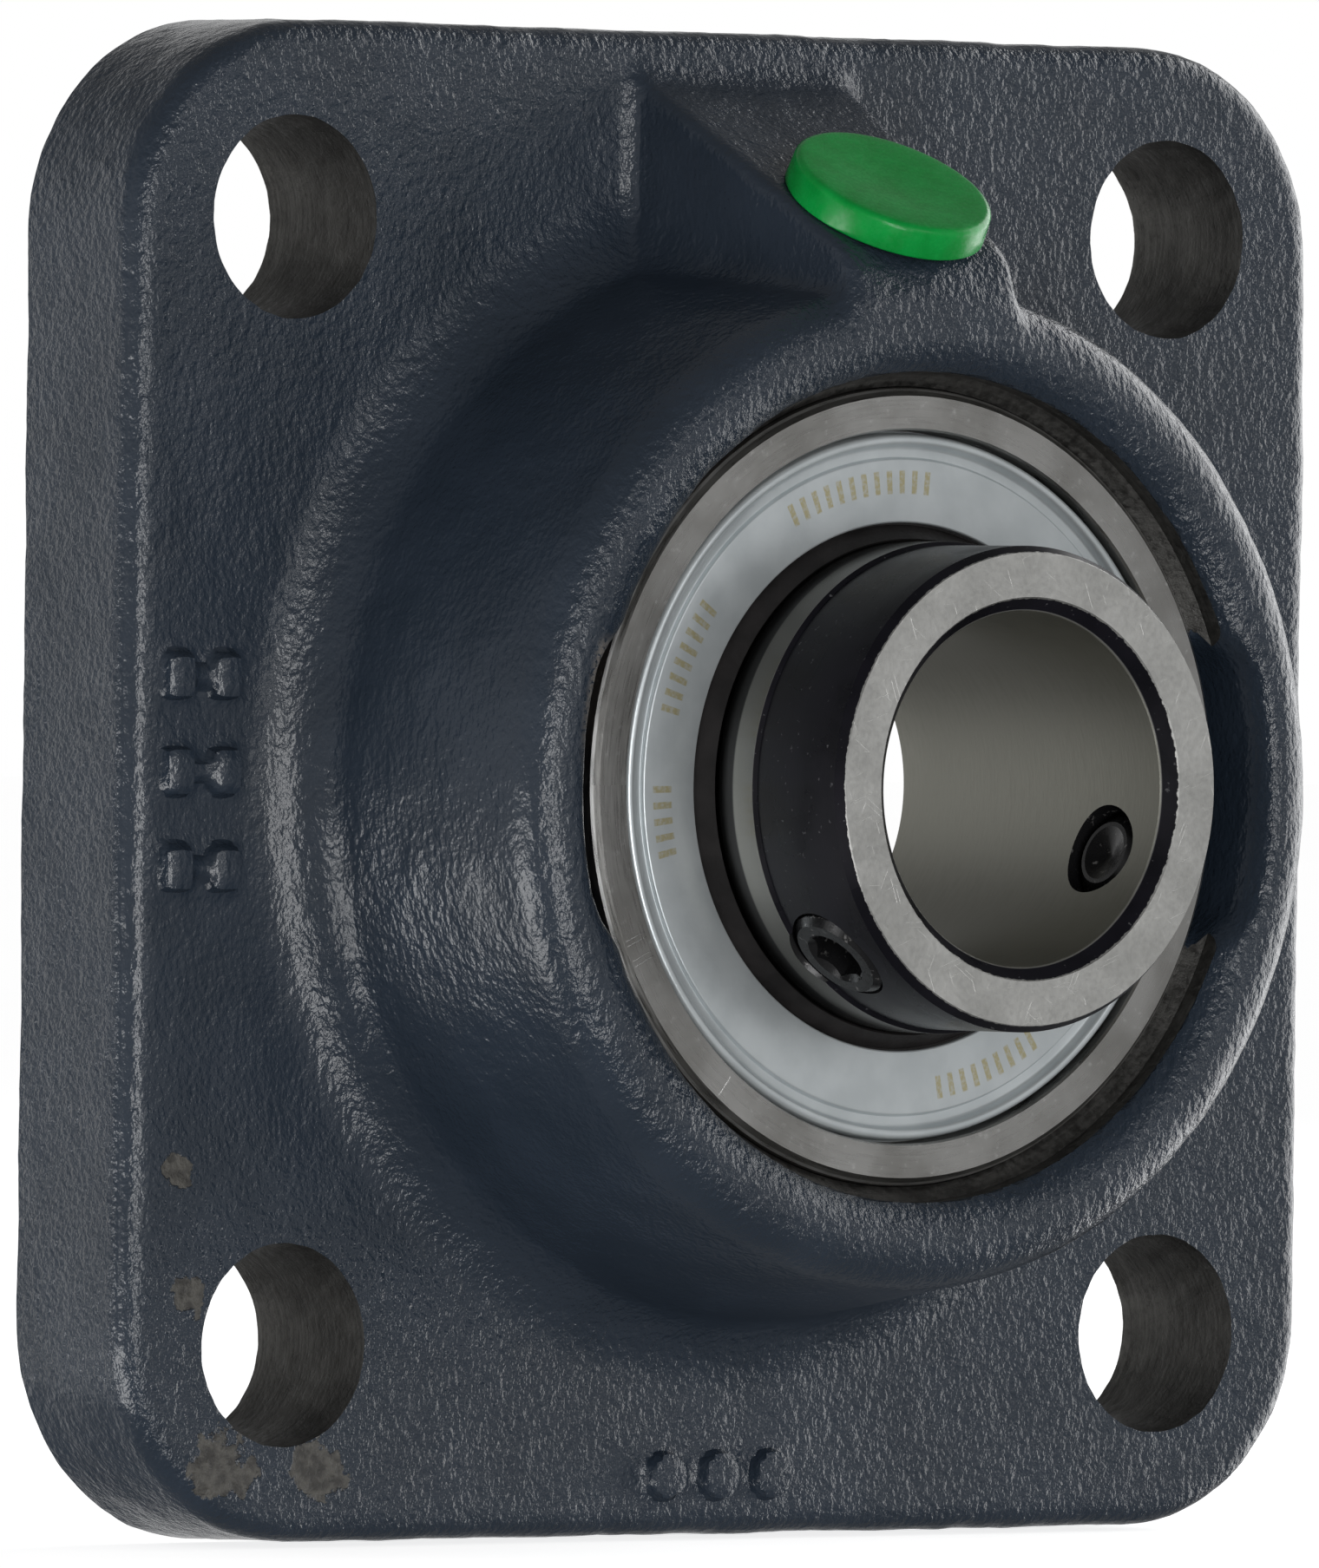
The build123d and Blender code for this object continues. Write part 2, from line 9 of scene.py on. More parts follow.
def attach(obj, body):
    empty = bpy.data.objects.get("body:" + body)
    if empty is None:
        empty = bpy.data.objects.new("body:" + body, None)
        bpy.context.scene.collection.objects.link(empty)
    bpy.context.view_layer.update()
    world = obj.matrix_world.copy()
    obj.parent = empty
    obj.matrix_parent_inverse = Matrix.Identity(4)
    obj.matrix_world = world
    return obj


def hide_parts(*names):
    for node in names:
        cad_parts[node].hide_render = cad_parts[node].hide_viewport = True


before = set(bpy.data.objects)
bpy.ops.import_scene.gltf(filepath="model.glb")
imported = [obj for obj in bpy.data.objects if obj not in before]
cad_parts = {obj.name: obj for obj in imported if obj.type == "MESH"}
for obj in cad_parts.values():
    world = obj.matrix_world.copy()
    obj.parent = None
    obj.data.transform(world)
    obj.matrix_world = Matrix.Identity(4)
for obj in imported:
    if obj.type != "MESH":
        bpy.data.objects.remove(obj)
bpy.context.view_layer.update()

# Looks for the square flange mount bearing.
#
# Shapes are drawn in millimetres in a bench frame: x to the right, y up, and depth in
# front of the mounting face. to_row() turns them into the frame's own metres.
MM = 0.001
# Further than any part of the bearing reaches.
BIG = 60.0

# ------ sizes of the casting
FLANGE_HALF = 43.0
FLANGE_THICKNESS = 10.0
FLANGE_CORNER_RADIUS = 12.3
FLANGE_FRONT_EDGE_RADIUS = 1.5
FLANGE_DRAFT_DEG = 0.6
BACK_ALLOWANCE = 1.0
BOLT_SPACING = 63.5
BOLT_HOLE_RADIUS = 5.75
# Lumps on the cored walls of the bolt holes.
ROUGH_HOLE_LUMP = 0.8
ROUGH_HOLE_HEIGHT = 0.07
ROUGH_HOLE_STEP = 0.6
# Without a seed, the vector noise that makes these lumps differs from run to run.
ROUGH_HOLE_SEED = 1
# The facing cut clears this much behind the mounting face.
FACING_CUT = 5.0
LIP_CENTRE_RADIUS = 25.76
LIP_CENTRE_DEPTH = 25.7
LIP_TUBE_RADIUS = 2.8
HUB_DRAFT_DEG = 9.2
HUB_FOOT_FILLET = 3.8
SEAT_CENTRE_DEPTH = 19.1
SEAT_RADIUS = 23.53
SEAT_HALF_WIDTH = 6.3
MOUTH_RADIUS = 23.5
MOUTH_CHAMFER_DEPTH = 0.8
REAR_HOLLOW_RADIUS = 26.2
REAR_HOLLOW_DEPTH = 10.2
REAR_HOLLOW_DRAFT_DEG = 8.0
REAR_HOLLOW_CORNER = 2.0
# How far the seat's cutter reaches back into the hollow.
SEAT_CUT_OVERLAP = 1.0
SLOT_HALF_WIDTH = 8.7
SLOT_FLOOR_RADIUS = 23.9
SLOT_MOUTH_RADIUS = 24.5
SLOT_CORNER_RADIUS = 2.6
SLOT_FLOOR_EDGE = 0.7
SLOT_LIP_EDGE = 1.1
GREASE_GROOVE = (14.7, 19.1, 24.1)
PORT_TILT_DEG = 30.0
PORT_FACE_HEIGHT = 32.7
PORT_FACE_DEPTH = 23.3
BOSS_HALF_WIDTH_AT_BACK = 8.86
BOSS_DRAFT_DEG = 5.8
BOSS_FRONT_DEPTH = 28.3
BOSS_ROOT = 1.5
BOSS_FRONT_RADIUS = 2.4
BOSS_RIDGE_RADIUS = 0.8
BOSS_FILLET_ON_FLANGE = 1.1
# The fillet between the boss and the hub gets smaller towards the lip.
BOSS_FOOT_DEPTHS = (9.0, 13.5, 18.0, 26.0)
BOSS_FILLETS_ON_HUB = (4.3, 2.6, 1.6, 0.9)
PORT_RADIUS = 4.32
PORT_THREAD_HEIGHT = 0.35
PORT_THREAD_PITCH = 0.907
PORT_THREAD_TURNS = 7
PORT_CHANNEL_RADIUS = 1.5
PORT_CHANNEL_LENGTH = 12.0
PORT_RUNOUT = 1.5
PORT_CLEARANCE = 6.0
MARK_TOP = FLANGE_THICKNESS + 0.95
MARK_FILLET = 0.4
BAR_CENTRE = (-38.2, 0.5)
BAR_PITCH = 5.4
BAR_LUMP_OFFSET = 1.65
BAR_LUMP_HALF = (0.95, 1.3)
BAR_BRIDGE_HALF = (2.3, 0.55)
BAR_BRIDGE_DROP = 0.35
PIP_CENTRE = (-0.8, -39.5)
PIP_PITCH = 3.8
PIP_RADIUS = 1.35
MARK_ROOT = 2.0

PLUG_HEAD_RADIUS = 5.95
PLUG_HEAD_HEIGHT = 1.9
PLUG_DISH = 0.16
PLUG_STEM_RADIUS = 3.9
PLUG_STEM_LENGTH = 5.6
PLUG_BARB_RADIUS = 4.26
PLUG_BARB_PITCH = 1.5
PLUG_WALL = 1.1
PLUG_BARB_COUNT = 3
PLUG_BARB_START = 0.4
PLUG_BARB_CREST = 1.0
PLUG_BARB_END = 1.2
PLUG_TIP_CHAMFER = 0.4
PLUG_HOLLOW_TOP = -0.6
PLUG_HEAD_DRAFT = 0.08
PLUG_DISH_RADIUS = 5.2
PLUG_DISH_STEP = 0.4

# Inner ring. Offsets along the axis are counted from the middle of the balls.
RACE_CENTRE_RADIUS = 16.741
RACE_GROOVE_RADIUS = 4.09
RACE_ANGLE_DEG = 46.0
RING_BEHIND_RACE = ((11.1, -7.0), (13.55, -7.0), (13.9, -6.65))
RING_BEFORE_RACE = (
    (13.9, 10.3),
    (13.68, 10.5),
    (13.68, 17.4),
    (13.3, 18.0),
    (10.8, 18.0),
    (10.0, 17.2),
    (10.0, -5.9),
)
SET_SCREW_ANGLES = (224.5, 339.5)
SET_SCREW_DEPTH = 31.9
TAP_TIP_RADIUS = 2.65
TAP_LEDGE = 10.75
TAP_START = 11.35
TAP_RADII = (3.02, 3.2)
TAP_PITCH = 0.75
TAP_TURNS = 6

# The pressed washer's section: radius, distance from the middle of the balls, and easing.
WASHER_SECTION = (
    (14.95, 5.95, 0.0),
    (14.95, 6.40, 0.12),
    (18.55, 6.40, 0.12),
    (18.66, 6.14, 0.05),
    (19.22, 6.20, 0.25),
    (19.46, 6.70, 0.22),
    (19.88, 6.70, 0.28),
    (20.04, 6.10, 0.10),
    (20.04, 5.95, 0.0),
)

# ------ geometry helpers


def to_row(points):
    """Bench millimetres (x, up, depth) to the row frame's metres."""
    points = np.asarray(points, float)
    return np.stack([points[:, 0], -points[:, 2], points[:, 1]], 1) * MM


def link(item):
    bpy.context.scene.collection.objects.link(item)


def new_piece(name, points, faces, materials=()):
    """Mesh object from bench points, smooth, with sharp edges where it turns fast."""
    mesh = bpy.data.meshes.new(name)
    mesh.from_pydata(to_row(points), [], faces)
    mesh.validate()
    piece = bpy.data.objects.new(name, mesh)
    link(piece)
    for material in materials:
        mesh.materials.append(material)
    shade(piece)
    return piece


def shade(piece, sharp_deg=38):
    mesh = piece.data
    mesh.polygons.foreach_set("use_smooth", [True] * len(mesh.polygons))
    mesh.set_sharp_from_angle(angle=radians(sharp_deg))


def arc(centre_radius, centre_depth, radius, start_deg, end_deg, steps=16):
    """Points of an arc in a lathe outline; angles run from outwards to forwards."""
    angles = np.radians(np.linspace(start_deg, end_deg, steps + 1))
    return [(centre_radius + radius * cos(a), centre_depth + radius * sin(a)) for a in angles]


def eased(corners, steps=4):
    """Outline from (radius, depth, easing) corners, each eased by an arc of its easing."""
    outline = []
    count = len(corners)
    for index, (radius, depth, easing) in enumerate(corners):
        corner = Vector((radius, depth))
        if not easing:
            outline.append(tuple(corner))
            continue
        before = (Vector(corners[index - 1][:2]) - corner).normalized()
        after = (Vector(corners[(index + 1) % count][:2]) - corner).normalized()
        half = before.angle(after) / 2
        reach = easing / tan(half)
        centre = corner + (before + after).normalized() * easing / sin(half)
        start, end = corner + before * reach, corner + after * reach
        for step in range(steps + 1):
            toward = (start - centre).slerp(end - centre, step / steps)
            outline.append(tuple(centre + toward * easing))
    return outline


def turn(outline, segments=256, placement=None):
    """Points and faces of a closed outline of (radius, depth) turned about an axis.

    The outline may start and end on the axis. placement is a bench matrix whose z is
    the axis; without one the outline turns about the shaft axis.
    """
    on_axis = [radius < 1e-6 for radius, _ in outline]
    points, rings = [], []
    for (radius, depth), single in zip(outline, on_axis):
        count = 1 if single else segments
        angles = np.arange(count) * 2 * pi / segments
        rings.append(range(len(points), len(points) + count))
        points += [(radius * cos(a), radius * sin(a), depth) for a in angles]
    faces = []
    for ring, following in zip(rings, rings[1:] + rings[:1]):
        if len(ring) == 1 and len(following) == 1:
            continue
        for step in range(segments):
            ahead = (step + 1) % segments
            corners = [ring[step % len(ring)], ring[ahead % len(ring)]]
            corners += [following[ahead % len(following)], following[step % len(following)]]
            faces.append(list(dict.fromkeys(corners)))
    points = np.array(points)
    if placement is not None:
        rotation = np.array(placement.to_3x3())
        points = points @ rotation.T + np.array(placement.translation)
    return points, faces


def zigzag(inner_radius, outer_radius, start, pitch, turns):
    """Outline of a threaded wall, as plain rings one pitch apart."""
    points = []
    for turn_number in range(turns):
        points.append((inner_radius, start + turn_number * pitch))
        points.append((outer_radius, start + (turn_number + 0.5) * pitch))
    points.append((inner_radius, start + turns * pitch))
    return points


def cut(piece, cutters):
    """Subtracts each cutter from the piece, for good, and deletes the cutters."""
    for cutter in cutters:
        modifier = piece.modifiers.new("cut", "BOOLEAN")
        modifier.operation = "DIFFERENCE"
        modifier.solver = "MANIFOLD"
        modifier.object = cutter
    bpy.context.view_layer.update()
    evaluated = piece.evaluated_get(bpy.context.evaluated_depsgraph_get())
    mesh = bpy.data.meshes.new_from_object(evaluated)
    piece.modifiers.clear()
    old = piece.data
    piece.data = mesh
    bpy.data.meshes.remove(old)
    for cutter in cutters:
        bpy.data.objects.remove(cutter)


def port_placement():
    """Bench matrix at the middle of the boss's plateau, z straight out of the port."""
    turn_back = Matrix.Rotation(radians(PORT_TILT_DEG - 90), 4, "X")
    return Matrix.Translation((0, PORT_FACE_HEIGHT, PORT_FACE_DEPTH)) @ turn_back


# ------ distance fields


def round_union(a, b, radius):
    """Distance to two joined shapes, with a concave fillet between them."""
    fillet = np.hypot(np.maximum(radius - a, 0), np.maximum(radius - b, 0))
    return np.maximum(radius, np.minimum(a, b)) - fillet


def round_intersection(a, b, radius):
    """Distance to what two shapes share, with a round edge."""
    edge = np.hypot(np.maximum(radius + a, 0), np.maximum(radius + b, 0))
    return np.minimum(-radius, np.maximum(a, b)) + edge


def flange_distance(x, y, depth):
    straight = FLANGE_HALF - FLANGE_CORNER_RADIUS
    over_x = np.abs(x) - straight
    over_y = np.abs(y) - straight
    outside = np.hypot(np.maximum(over_x, 0), np.maximum(over_y, 0))
    side = outside + np.minimum(np.maximum(over_x, over_y), 0) - FLANGE_CORNER_RADIUS
    side = side + np.maximum(depth, 0) * tan(radians(FLANGE_DRAFT_DEG))
    return round_intersection(side, depth - FLANGE_THICKNESS, FLANGE_FRONT_EDGE_RADIUS)


def hub_distance(radius, depth):
    draft = radians(HUB_DRAFT_DEG)
    from_centre = radius - LIP_CENTRE_RADIUS
    above = depth - LIP_CENTRE_DEPTH
    wall = from_centre * cos(draft) + above * sin(draft) - LIP_TUBE_RADIUS
    lip = np.hypot(from_centre, above) - LIP_TUBE_RADIUS
    return np.minimum(np.maximum(wall, above), lip)


def boss_distance(x, y, depth):
    tilt = radians(PORT_TILT_DEG)
    draft = radians(BOSS_DRAFT_DEG)
    plateau = (y - PORT_FACE_HEIGHT) * cos(tilt) + (depth - PORT_FACE_DEPTH) * sin(tilt)
    nose = round_intersection(plateau, depth - BOSS_FRONT_DEPTH, BOSS_FRONT_RADIUS)
    half_width = BOSS_HALF_WIDTH_AT_BACK - depth * tan(draft)
    sides = (np.abs(x) - half_width) * cos(draft)
    block = round_intersection(nose, sides, BOSS_RIDGE_RADIUS)
    block = np.maximum(np.maximum(block, -y), LIP_CENTRE_RADIUS - np.hypot(x, y))
    return np.maximum(block, FLANGE_THICKNESS - BOSS_ROOT - depth)


def slot_distance(x, y, radius, depth):
    widening = (SLOT_MOUTH_RADIUS - SLOT_FLOOR_RADIUS) / (
        LIP_CENTRE_DEPTH + LIP_TUBE_RADIUS - SEAT_CENTRE_DEPTH
    )
    wall_radius = SLOT_FLOOR_RADIUS + (depth - SEAT_CENTRE_DEPTH) * widening
    over_y = np.abs(y) - SLOT_HALF_WIDTH
    section = round_intersection(radius - wall_radius, over_y, SLOT_CORNER_RADIUS)
    return round_intersection(section, SEAT_CENTRE_DEPTH - depth, SLOT_FLOOR_EDGE)


def hollow_distance(radius, depth):
    draft = radians(REAR_HOLLOW_DRAFT_DEG)
    wall = (radius - REAR_HOLLOW_RADIUS) * cos(draft) + depth * sin(draft)
    return round_intersection(wall, depth - REAR_HOLLOW_DEPTH, REAR_HOLLOW_CORNER)


def marks_distance(x, y, depth):
    """Raised foundry marks: three plain bars at the left and three pips below."""
    distance = np.full_like(x, BIG)
    height = depth - MARK_TOP

    def pad(middle_x, middle_y, half, drop):
        over_x = np.abs(x - middle_x) - half[0]
        over_y = np.abs(y - middle_y) - half[1]
        sides = round_intersection(over_x, over_y, MARK_FILLET)
        return round_intersection(sides, height + drop, MARK_FILLET)

    for step in (-1, 0, 1):
        bar_x, bar_y = BAR_CENTRE[0], BAR_CENTRE[1] + step * BAR_PITCH
        for side in (-1, 1):
            lump = pad(bar_x + side * BAR_LUMP_OFFSET, bar_y, BAR_LUMP_HALF, 0)
            distance = np.minimum(distance, lump)
        distance = np.minimum(distance, pad(bar_x, bar_y, BAR_BRIDGE_HALF, BAR_BRIDGE_DROP))
        from_pip = np.hypot(x - PIP_CENTRE[0] - step * PIP_PITCH, y - PIP_CENTRE[1])
        pip = round_intersection(from_pip - PIP_RADIUS, height, MARK_FILLET)
        distance = np.minimum(distance, pip)
    return np.maximum(distance, FLANGE_THICKNESS - MARK_ROOT - depth)


def casting_distance(x, y, depth):
    """Distance to the raw casting, before it is machined."""
    radius = np.hypot(x, y)
    hub = hub_distance(radius, depth)
    boss = boss_distance(x, y, depth)
    body = round_union(flange_distance(x, y, depth), hub, HUB_FOOT_FILLET)
    body = round_union(body, boss, BOSS_FILLET_ON_FLANGE)
    fillet_on_hub = np.interp(depth, BOSS_FOOT_DEPTHS, BOSS_FILLETS_ON_HUB)
    body = np.minimum(body, round_union(hub, boss, fillet_on_hub))
    body = round_union(body, marks_distance(x, y, depth), MARK_FILLET)
    body = round_intersection(body, -slot_distance(x, y, radius, depth), SLOT_LIP_EDGE)
    body = np.maximum(body, -hollow_distance(radius, depth))
    body = np.maximum(body, depth - LIP_CENTRE_DEPTH - LIP_TUBE_RADIUS)
    return np.maximum(body, -BACK_ALLOWANCE - depth)


def surface_net(distance, low, high, step):
    """Closed quad mesh of the surface where a distance field is zero."""
    axes = [np.arange(a, b + step, step) for a, b in zip(low, high)]
    inside = distance(*np.meshgrid(*axes, indexing="ij")) < 0
    cells = tuple(size - 1 for size in inside.shape)
    filled = np.zeros(cells, np.int8)
    for i in (0, 1):
        for j in (0, 1):
            for k in (0, 1):
                filled += inside[i : cells[0] + i, j : cells[1] + j, k : cells[2] + k]
    crossed = (filled > 0) & (filled < 8)
    number = np.full(cells, -1)
    number[crossed] = np.arange(crossed.sum())
    where = np.argwhere(crossed)
    points = np.stack([axes[n][where[:, n]] + step / 2 for n in range(3)], 1)
    unit = np.eye(3, dtype=int)
    quads = []
    for axis in range(3):
        change = np.diff(inside.astype(np.int8), axis=axis)
        edges = np.argwhere(change)
        leaving = change[tuple(edges.T)] < 0
        second, third = unit[(axis + 1) % 3], unit[(axis + 2) % 3]
        corners = []
        for back_second, back_third in ((1, 1), (0, 1), (0, 0), (1, 0)):
            cell = edges - back_second * second - back_third * third
            corners.append(number[tuple(cell.T)])
        quad = np.stack(corners, 1)
        quad[~leaving] = quad[~leaving][:, ::-1]
        quads.append(quad)
    return points, np.concatenate(quads)


def slope_of(distance, points, reach=0.02):
    """Gradient of a distance field at points."""
    columns = []
    for axis in range(3):
        offset = np.zeros(3)
        offset[axis] = reach
        ahead, behind = points + offset, points - offset
        columns.append((distance(*ahead.T) - distance(*behind.T)) / (2 * reach))
    return np.stack(columns, 1)


def pull_to_surface(distance, points):
    slope = slope_of(distance, points)
    steepness = np.maximum((slope**2).sum(1), 0.05)
    return points - slope * (distance(*points.T) / steepness)[:, None]


def relax(points, quads):
    """Moves each point to the middle of the points it shares an edge with."""
    starts = quads.reshape(-1)
    ends = np.roll(quads, -1, axis=1).reshape(-1)
    count = len(points)
    shared = np.bincount(starts, minlength=count) + np.bincount(ends, minlength=count)
    moved = np.zeros_like(points)
    for axis in range(3):
        moved[:, axis] = np.bincount(starts, points[ends, axis], count)
        moved[:, axis] += np.bincount(ends, points[starts, axis], count)
    return moved / shared[:, None]


# ------ the casting

NET_STEP = 0.47
NET_MARGIN = 1.0
SMOOTHING_ROUNDS = 3
# Wavelength and height of each layer of the casting's skin, in millimetres.
SKIN_LAYERS = ((9.0, 0.09), (3.2, 0.06), (1.5, 0.035), (0.9, 0.035))


def skin_height(point):
    """Height of the sand-cast skin at a bench point."""
    height = 0.0
    for number, (wavelength, amplitude) in enumerate(SKIN_LAYERS):
        place = Vector(point) / wavelength + Vector((17.0 * number, 5.0, 3.0))
        height += amplitude * noise.noise(place)
    return height


def raw_casting(materials):
    """The casting as it leaves the sand, with its skin, before it is machined."""
    side = FLANGE_HALF + NET_MARGIN
    low = (-side, -side, -BACK_ALLOWANCE - NET_MARGIN)
    high = (side, side, LIP_CENTRE_DEPTH + LIP_TUBE_RADIUS + NET_MARGIN)
    points, quads = surface_net(casting_distance, low, high, NET_STEP)
    for _ in range(SMOOTHING_ROUNDS):
        points = pull_to_surface(casting_distance, relax(points, quads))
    points = pull_to_surface(casting_distance, points)
    slope = slope_of(casting_distance, points)
    normals = slope / np.linalg.norm(slope, axis=1)[:, None]
    heights = np.array([skin_height(point) for point in points])
    points = points + normals * heights[:, None]
    return new_piece("housing_casting", points, quads.tolist(), materials)


def cutter(name, outline, material_index, materials, segments=256, placement=None):
    """Turned solid to subtract; the cut walls get the material of material_index."""
    points, faces = turn(outline, segments, placement)
    tool = new_piece(name, points, faces, materials)
    mesh = bmesh.new()
    mesh.from_mesh(tool.data)
    bmesh.ops.recalc_face_normals(mesh, faces=mesh.faces)
    mesh.to_mesh(tool.data)
    mesh.free()
    tool.data.polygons.foreach_set("material_index", [material_index] * len(tool.data.polygons))
    return tool


def seat_outline():
    edge_angle = degrees(asin(SEAT_HALF_WIDTH / SEAT_RADIUS))
    edge_radius = SEAT_RADIUS * cos(radians(edge_angle))
    groove_low, groove_high, groove_radius = GREASE_GROOVE
    low_angle = degrees(asin((groove_low - SEAT_CENTRE_DEPTH) / SEAT_RADIUS))
    front = SEAT_CENTRE_DEPTH + SEAT_HALF_WIDTH
    return [
        (0, REAR_HOLLOW_DEPTH - SEAT_CUT_OVERLAP),
        (edge_radius, REAR_HOLLOW_DEPTH - SEAT_CUT_OVERLAP),
        *arc(0, SEAT_CENTRE_DEPTH, SEAT_RADIUS, -edge_angle, low_angle, 8),
        (groove_radius, groove_low),
        (groove_radius, groove_high),
        *arc(0, SEAT_CENTRE_DEPTH, SEAT_RADIUS, 0, edge_angle, 12),
        (MOUTH_RADIUS, front + MOUTH_CHAMFER_DEPTH),
        (MOUTH_RADIUS, BIG),
        (0, BIG),
    ]


def machining(materials):
    """Cutters for everything that is machined after the casting is painted."""
    bare = 1
    facing = [(0, -FACING_CUT), (2 * BIG, -FACING_CUT), (2 * BIG, 0), (0, 0)]
    heights = np.arange(-1, FLANGE_THICKNESS + 2, ROUGH_HOLE_STEP)
    wall = [(BOLT_HOLE_RADIUS, height) for height in heights]
    hole = [(0, -1), *wall, (0, wall[-1][1])]
    tools = [
        cutter("back_face", facing, bare, materials, 64),
        cutter("seat", seat_outline(), bare, materials),
    ]
    noise.seed_set(ROUGH_HOLE_SEED)
    half = BOLT_SPACING / 2
    for x in (-half, half):
        for y in (-half, half):
            place = Matrix.Translation((x, y, 0))
            core = cutter("bolt_hole", hole, bare, materials, 128, place)
            for vertex in core.data.vertices:
                lump = noise.noise_vector(vertex.co / (MM * ROUGH_HOLE_LUMP))
                vertex.co += lump * ROUGH_HOLE_HEIGHT * MM
            tools.append(core)
    thread_length = PORT_THREAD_PITCH * PORT_THREAD_TURNS
    crest = PORT_RADIUS + PORT_THREAD_HEIGHT
    thread = zigzag(PORT_RADIUS, crest, -thread_length, PORT_THREAD_PITCH, PORT_THREAD_TURNS)
    tap = [
        (0, -PORT_CHANNEL_LENGTH),
        (PORT_CHANNEL_RADIUS, -PORT_CHANNEL_LENGTH),
        (PORT_CHANNEL_RADIUS, -thread_length - PORT_RUNOUT),
        *thread,
        (PORT_RADIUS, PORT_CLEARANCE),
        (0, PORT_CLEARANCE),
    ]
    tools.append(cutter("port", tap, bare, materials, 96, port_placement()))
    return tools


def make_housing(materials):
    casting = raw_casting(materials)
    cut(casting, machining(materials))
    shade(casting)
    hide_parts("housing")
    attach(casting, "housing")


def make_washer(side, material):
    """Pressed seal washer: a flat disc, a shallow valley and a bead along its rim."""
    facing = 1 if side == "front" else -1
    outline = [(r, SEAT_CENTRE_DEPTH + facing * offset) for r, offset in eased(WASHER_SECTION)]
    points, faces = turn(outline[:: -facing])
    washer = new_piece(f"{side}_pressed_washer", points, faces, (material,))
    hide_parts(f"{side}_seal_outer_washer")
    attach(washer, "outer_ring")


def make_inner_ring(material, hole_material):
    """Inner ring with its race, collar and two tapped holes for the set screws."""
    outline = [
        *RING_BEHIND_RACE,
        *arc(RACE_CENTRE_RADIUS, 0, RACE_GROOVE_RADIUS, 180 + RACE_ANGLE_DEG, 180 - RACE_ANGLE_DEG),
        *RING_BEFORE_RACE,
    ]
    points, faces = turn([(radius, SEAT_CENTRE_DEPTH + offset) for radius, offset in outline])
    materials = (material, hole_material)
    ring = new_piece("turned_inner_ring", points, faces, materials)
    wall = zigzag(*TAP_RADII, TAP_START, TAP_PITCH, TAP_TURNS)
    tap = [
        (0, 0),
        (TAP_TIP_RADIUS, 0),
        (TAP_TIP_RADIUS, TAP_LEDGE),
        (TAP_RADII[0], TAP_LEDGE),
        *wall,
        (0, wall[-1][1]),
    ]
    tools = []
    for angle in SET_SCREW_ANGLES:
        about_shaft = Matrix.Rotation(radians(angle), 4, "Z")
        outwards = about_shaft @ Matrix.Rotation(radians(90), 4, "Y")
        place = Matrix.Translation((0, 0, SET_SCREW_DEPTH)) @ outwards
        tools.append(cutter("tapped_hole", tap, 1, materials, 96, place))
    cut(ring, tools)
    shade(ring, 20)
    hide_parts("inner_ring")
    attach(ring, "inner_ring")


def make_plug(material):
    """Push-in plug: a softly dished head on a hollow, barbed stem."""
    barbs = []
    for barb in range(PLUG_BARB_COUNT):
        foot = -PLUG_STEM_LENGTH + PLUG_BARB_START + barb * PLUG_BARB_PITCH
        barbs.append((PLUG_STEM_RADIUS, foot, 0.0))
        barbs.append((PLUG_BARB_RADIUS, foot + PLUG_BARB_CREST, 0.08))
        barbs.append((PLUG_STEM_RADIUS, foot + PLUG_BARB_END, 0.0))
    hollow = PLUG_STEM_RADIUS - PLUG_WALL
    outline = [
        (0.0, PLUG_HEAD_HEIGHT - PLUG_DISH, 0.0),
        (0.0, PLUG_HOLLOW_TOP, 0.0),
        (hollow, PLUG_HOLLOW_TOP, 0.2),
        (hollow, -PLUG_STEM_LENGTH, 0.15),
        (PLUG_STEM_RADIUS - PLUG_TIP_CHAMFER, -PLUG_STEM_LENGTH, 0.1),
        *barbs,
        (PLUG_STEM_RADIUS, 0.0, 0.15),
        (PLUG_HEAD_RADIUS, 0.0, 0.12),
        (PLUG_HEAD_RADIUS - PLUG_HEAD_DRAFT, PLUG_HEAD_HEIGHT, 0.42),
    ]
    outline = eased(outline, 6)
    for radius in np.arange(PLUG_DISH_RADIUS, PLUG_DISH_STEP / 2, -PLUG_DISH_STEP):
        sink = PLUG_DISH * (1 + cos(pi * radius / PLUG_DISH_RADIUS)) / 2
        outline.append((radius, PLUG_HEAD_HEIGHT - sink))
    points, faces = turn(outline, 128, port_placement())
    plug = new_piece("port_plug", points, faces, (material,))
    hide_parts("grease_plug")
    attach(plug, "grease_plug")


# ------ materials


# How slowly the marks of turning change along their lay.
LAY_PER_DEGREE = 0.02
SCRATCHES_PER_MM_ALONG = 0.3
SCRATCHES_PER_MM_ACROSS = 14.0


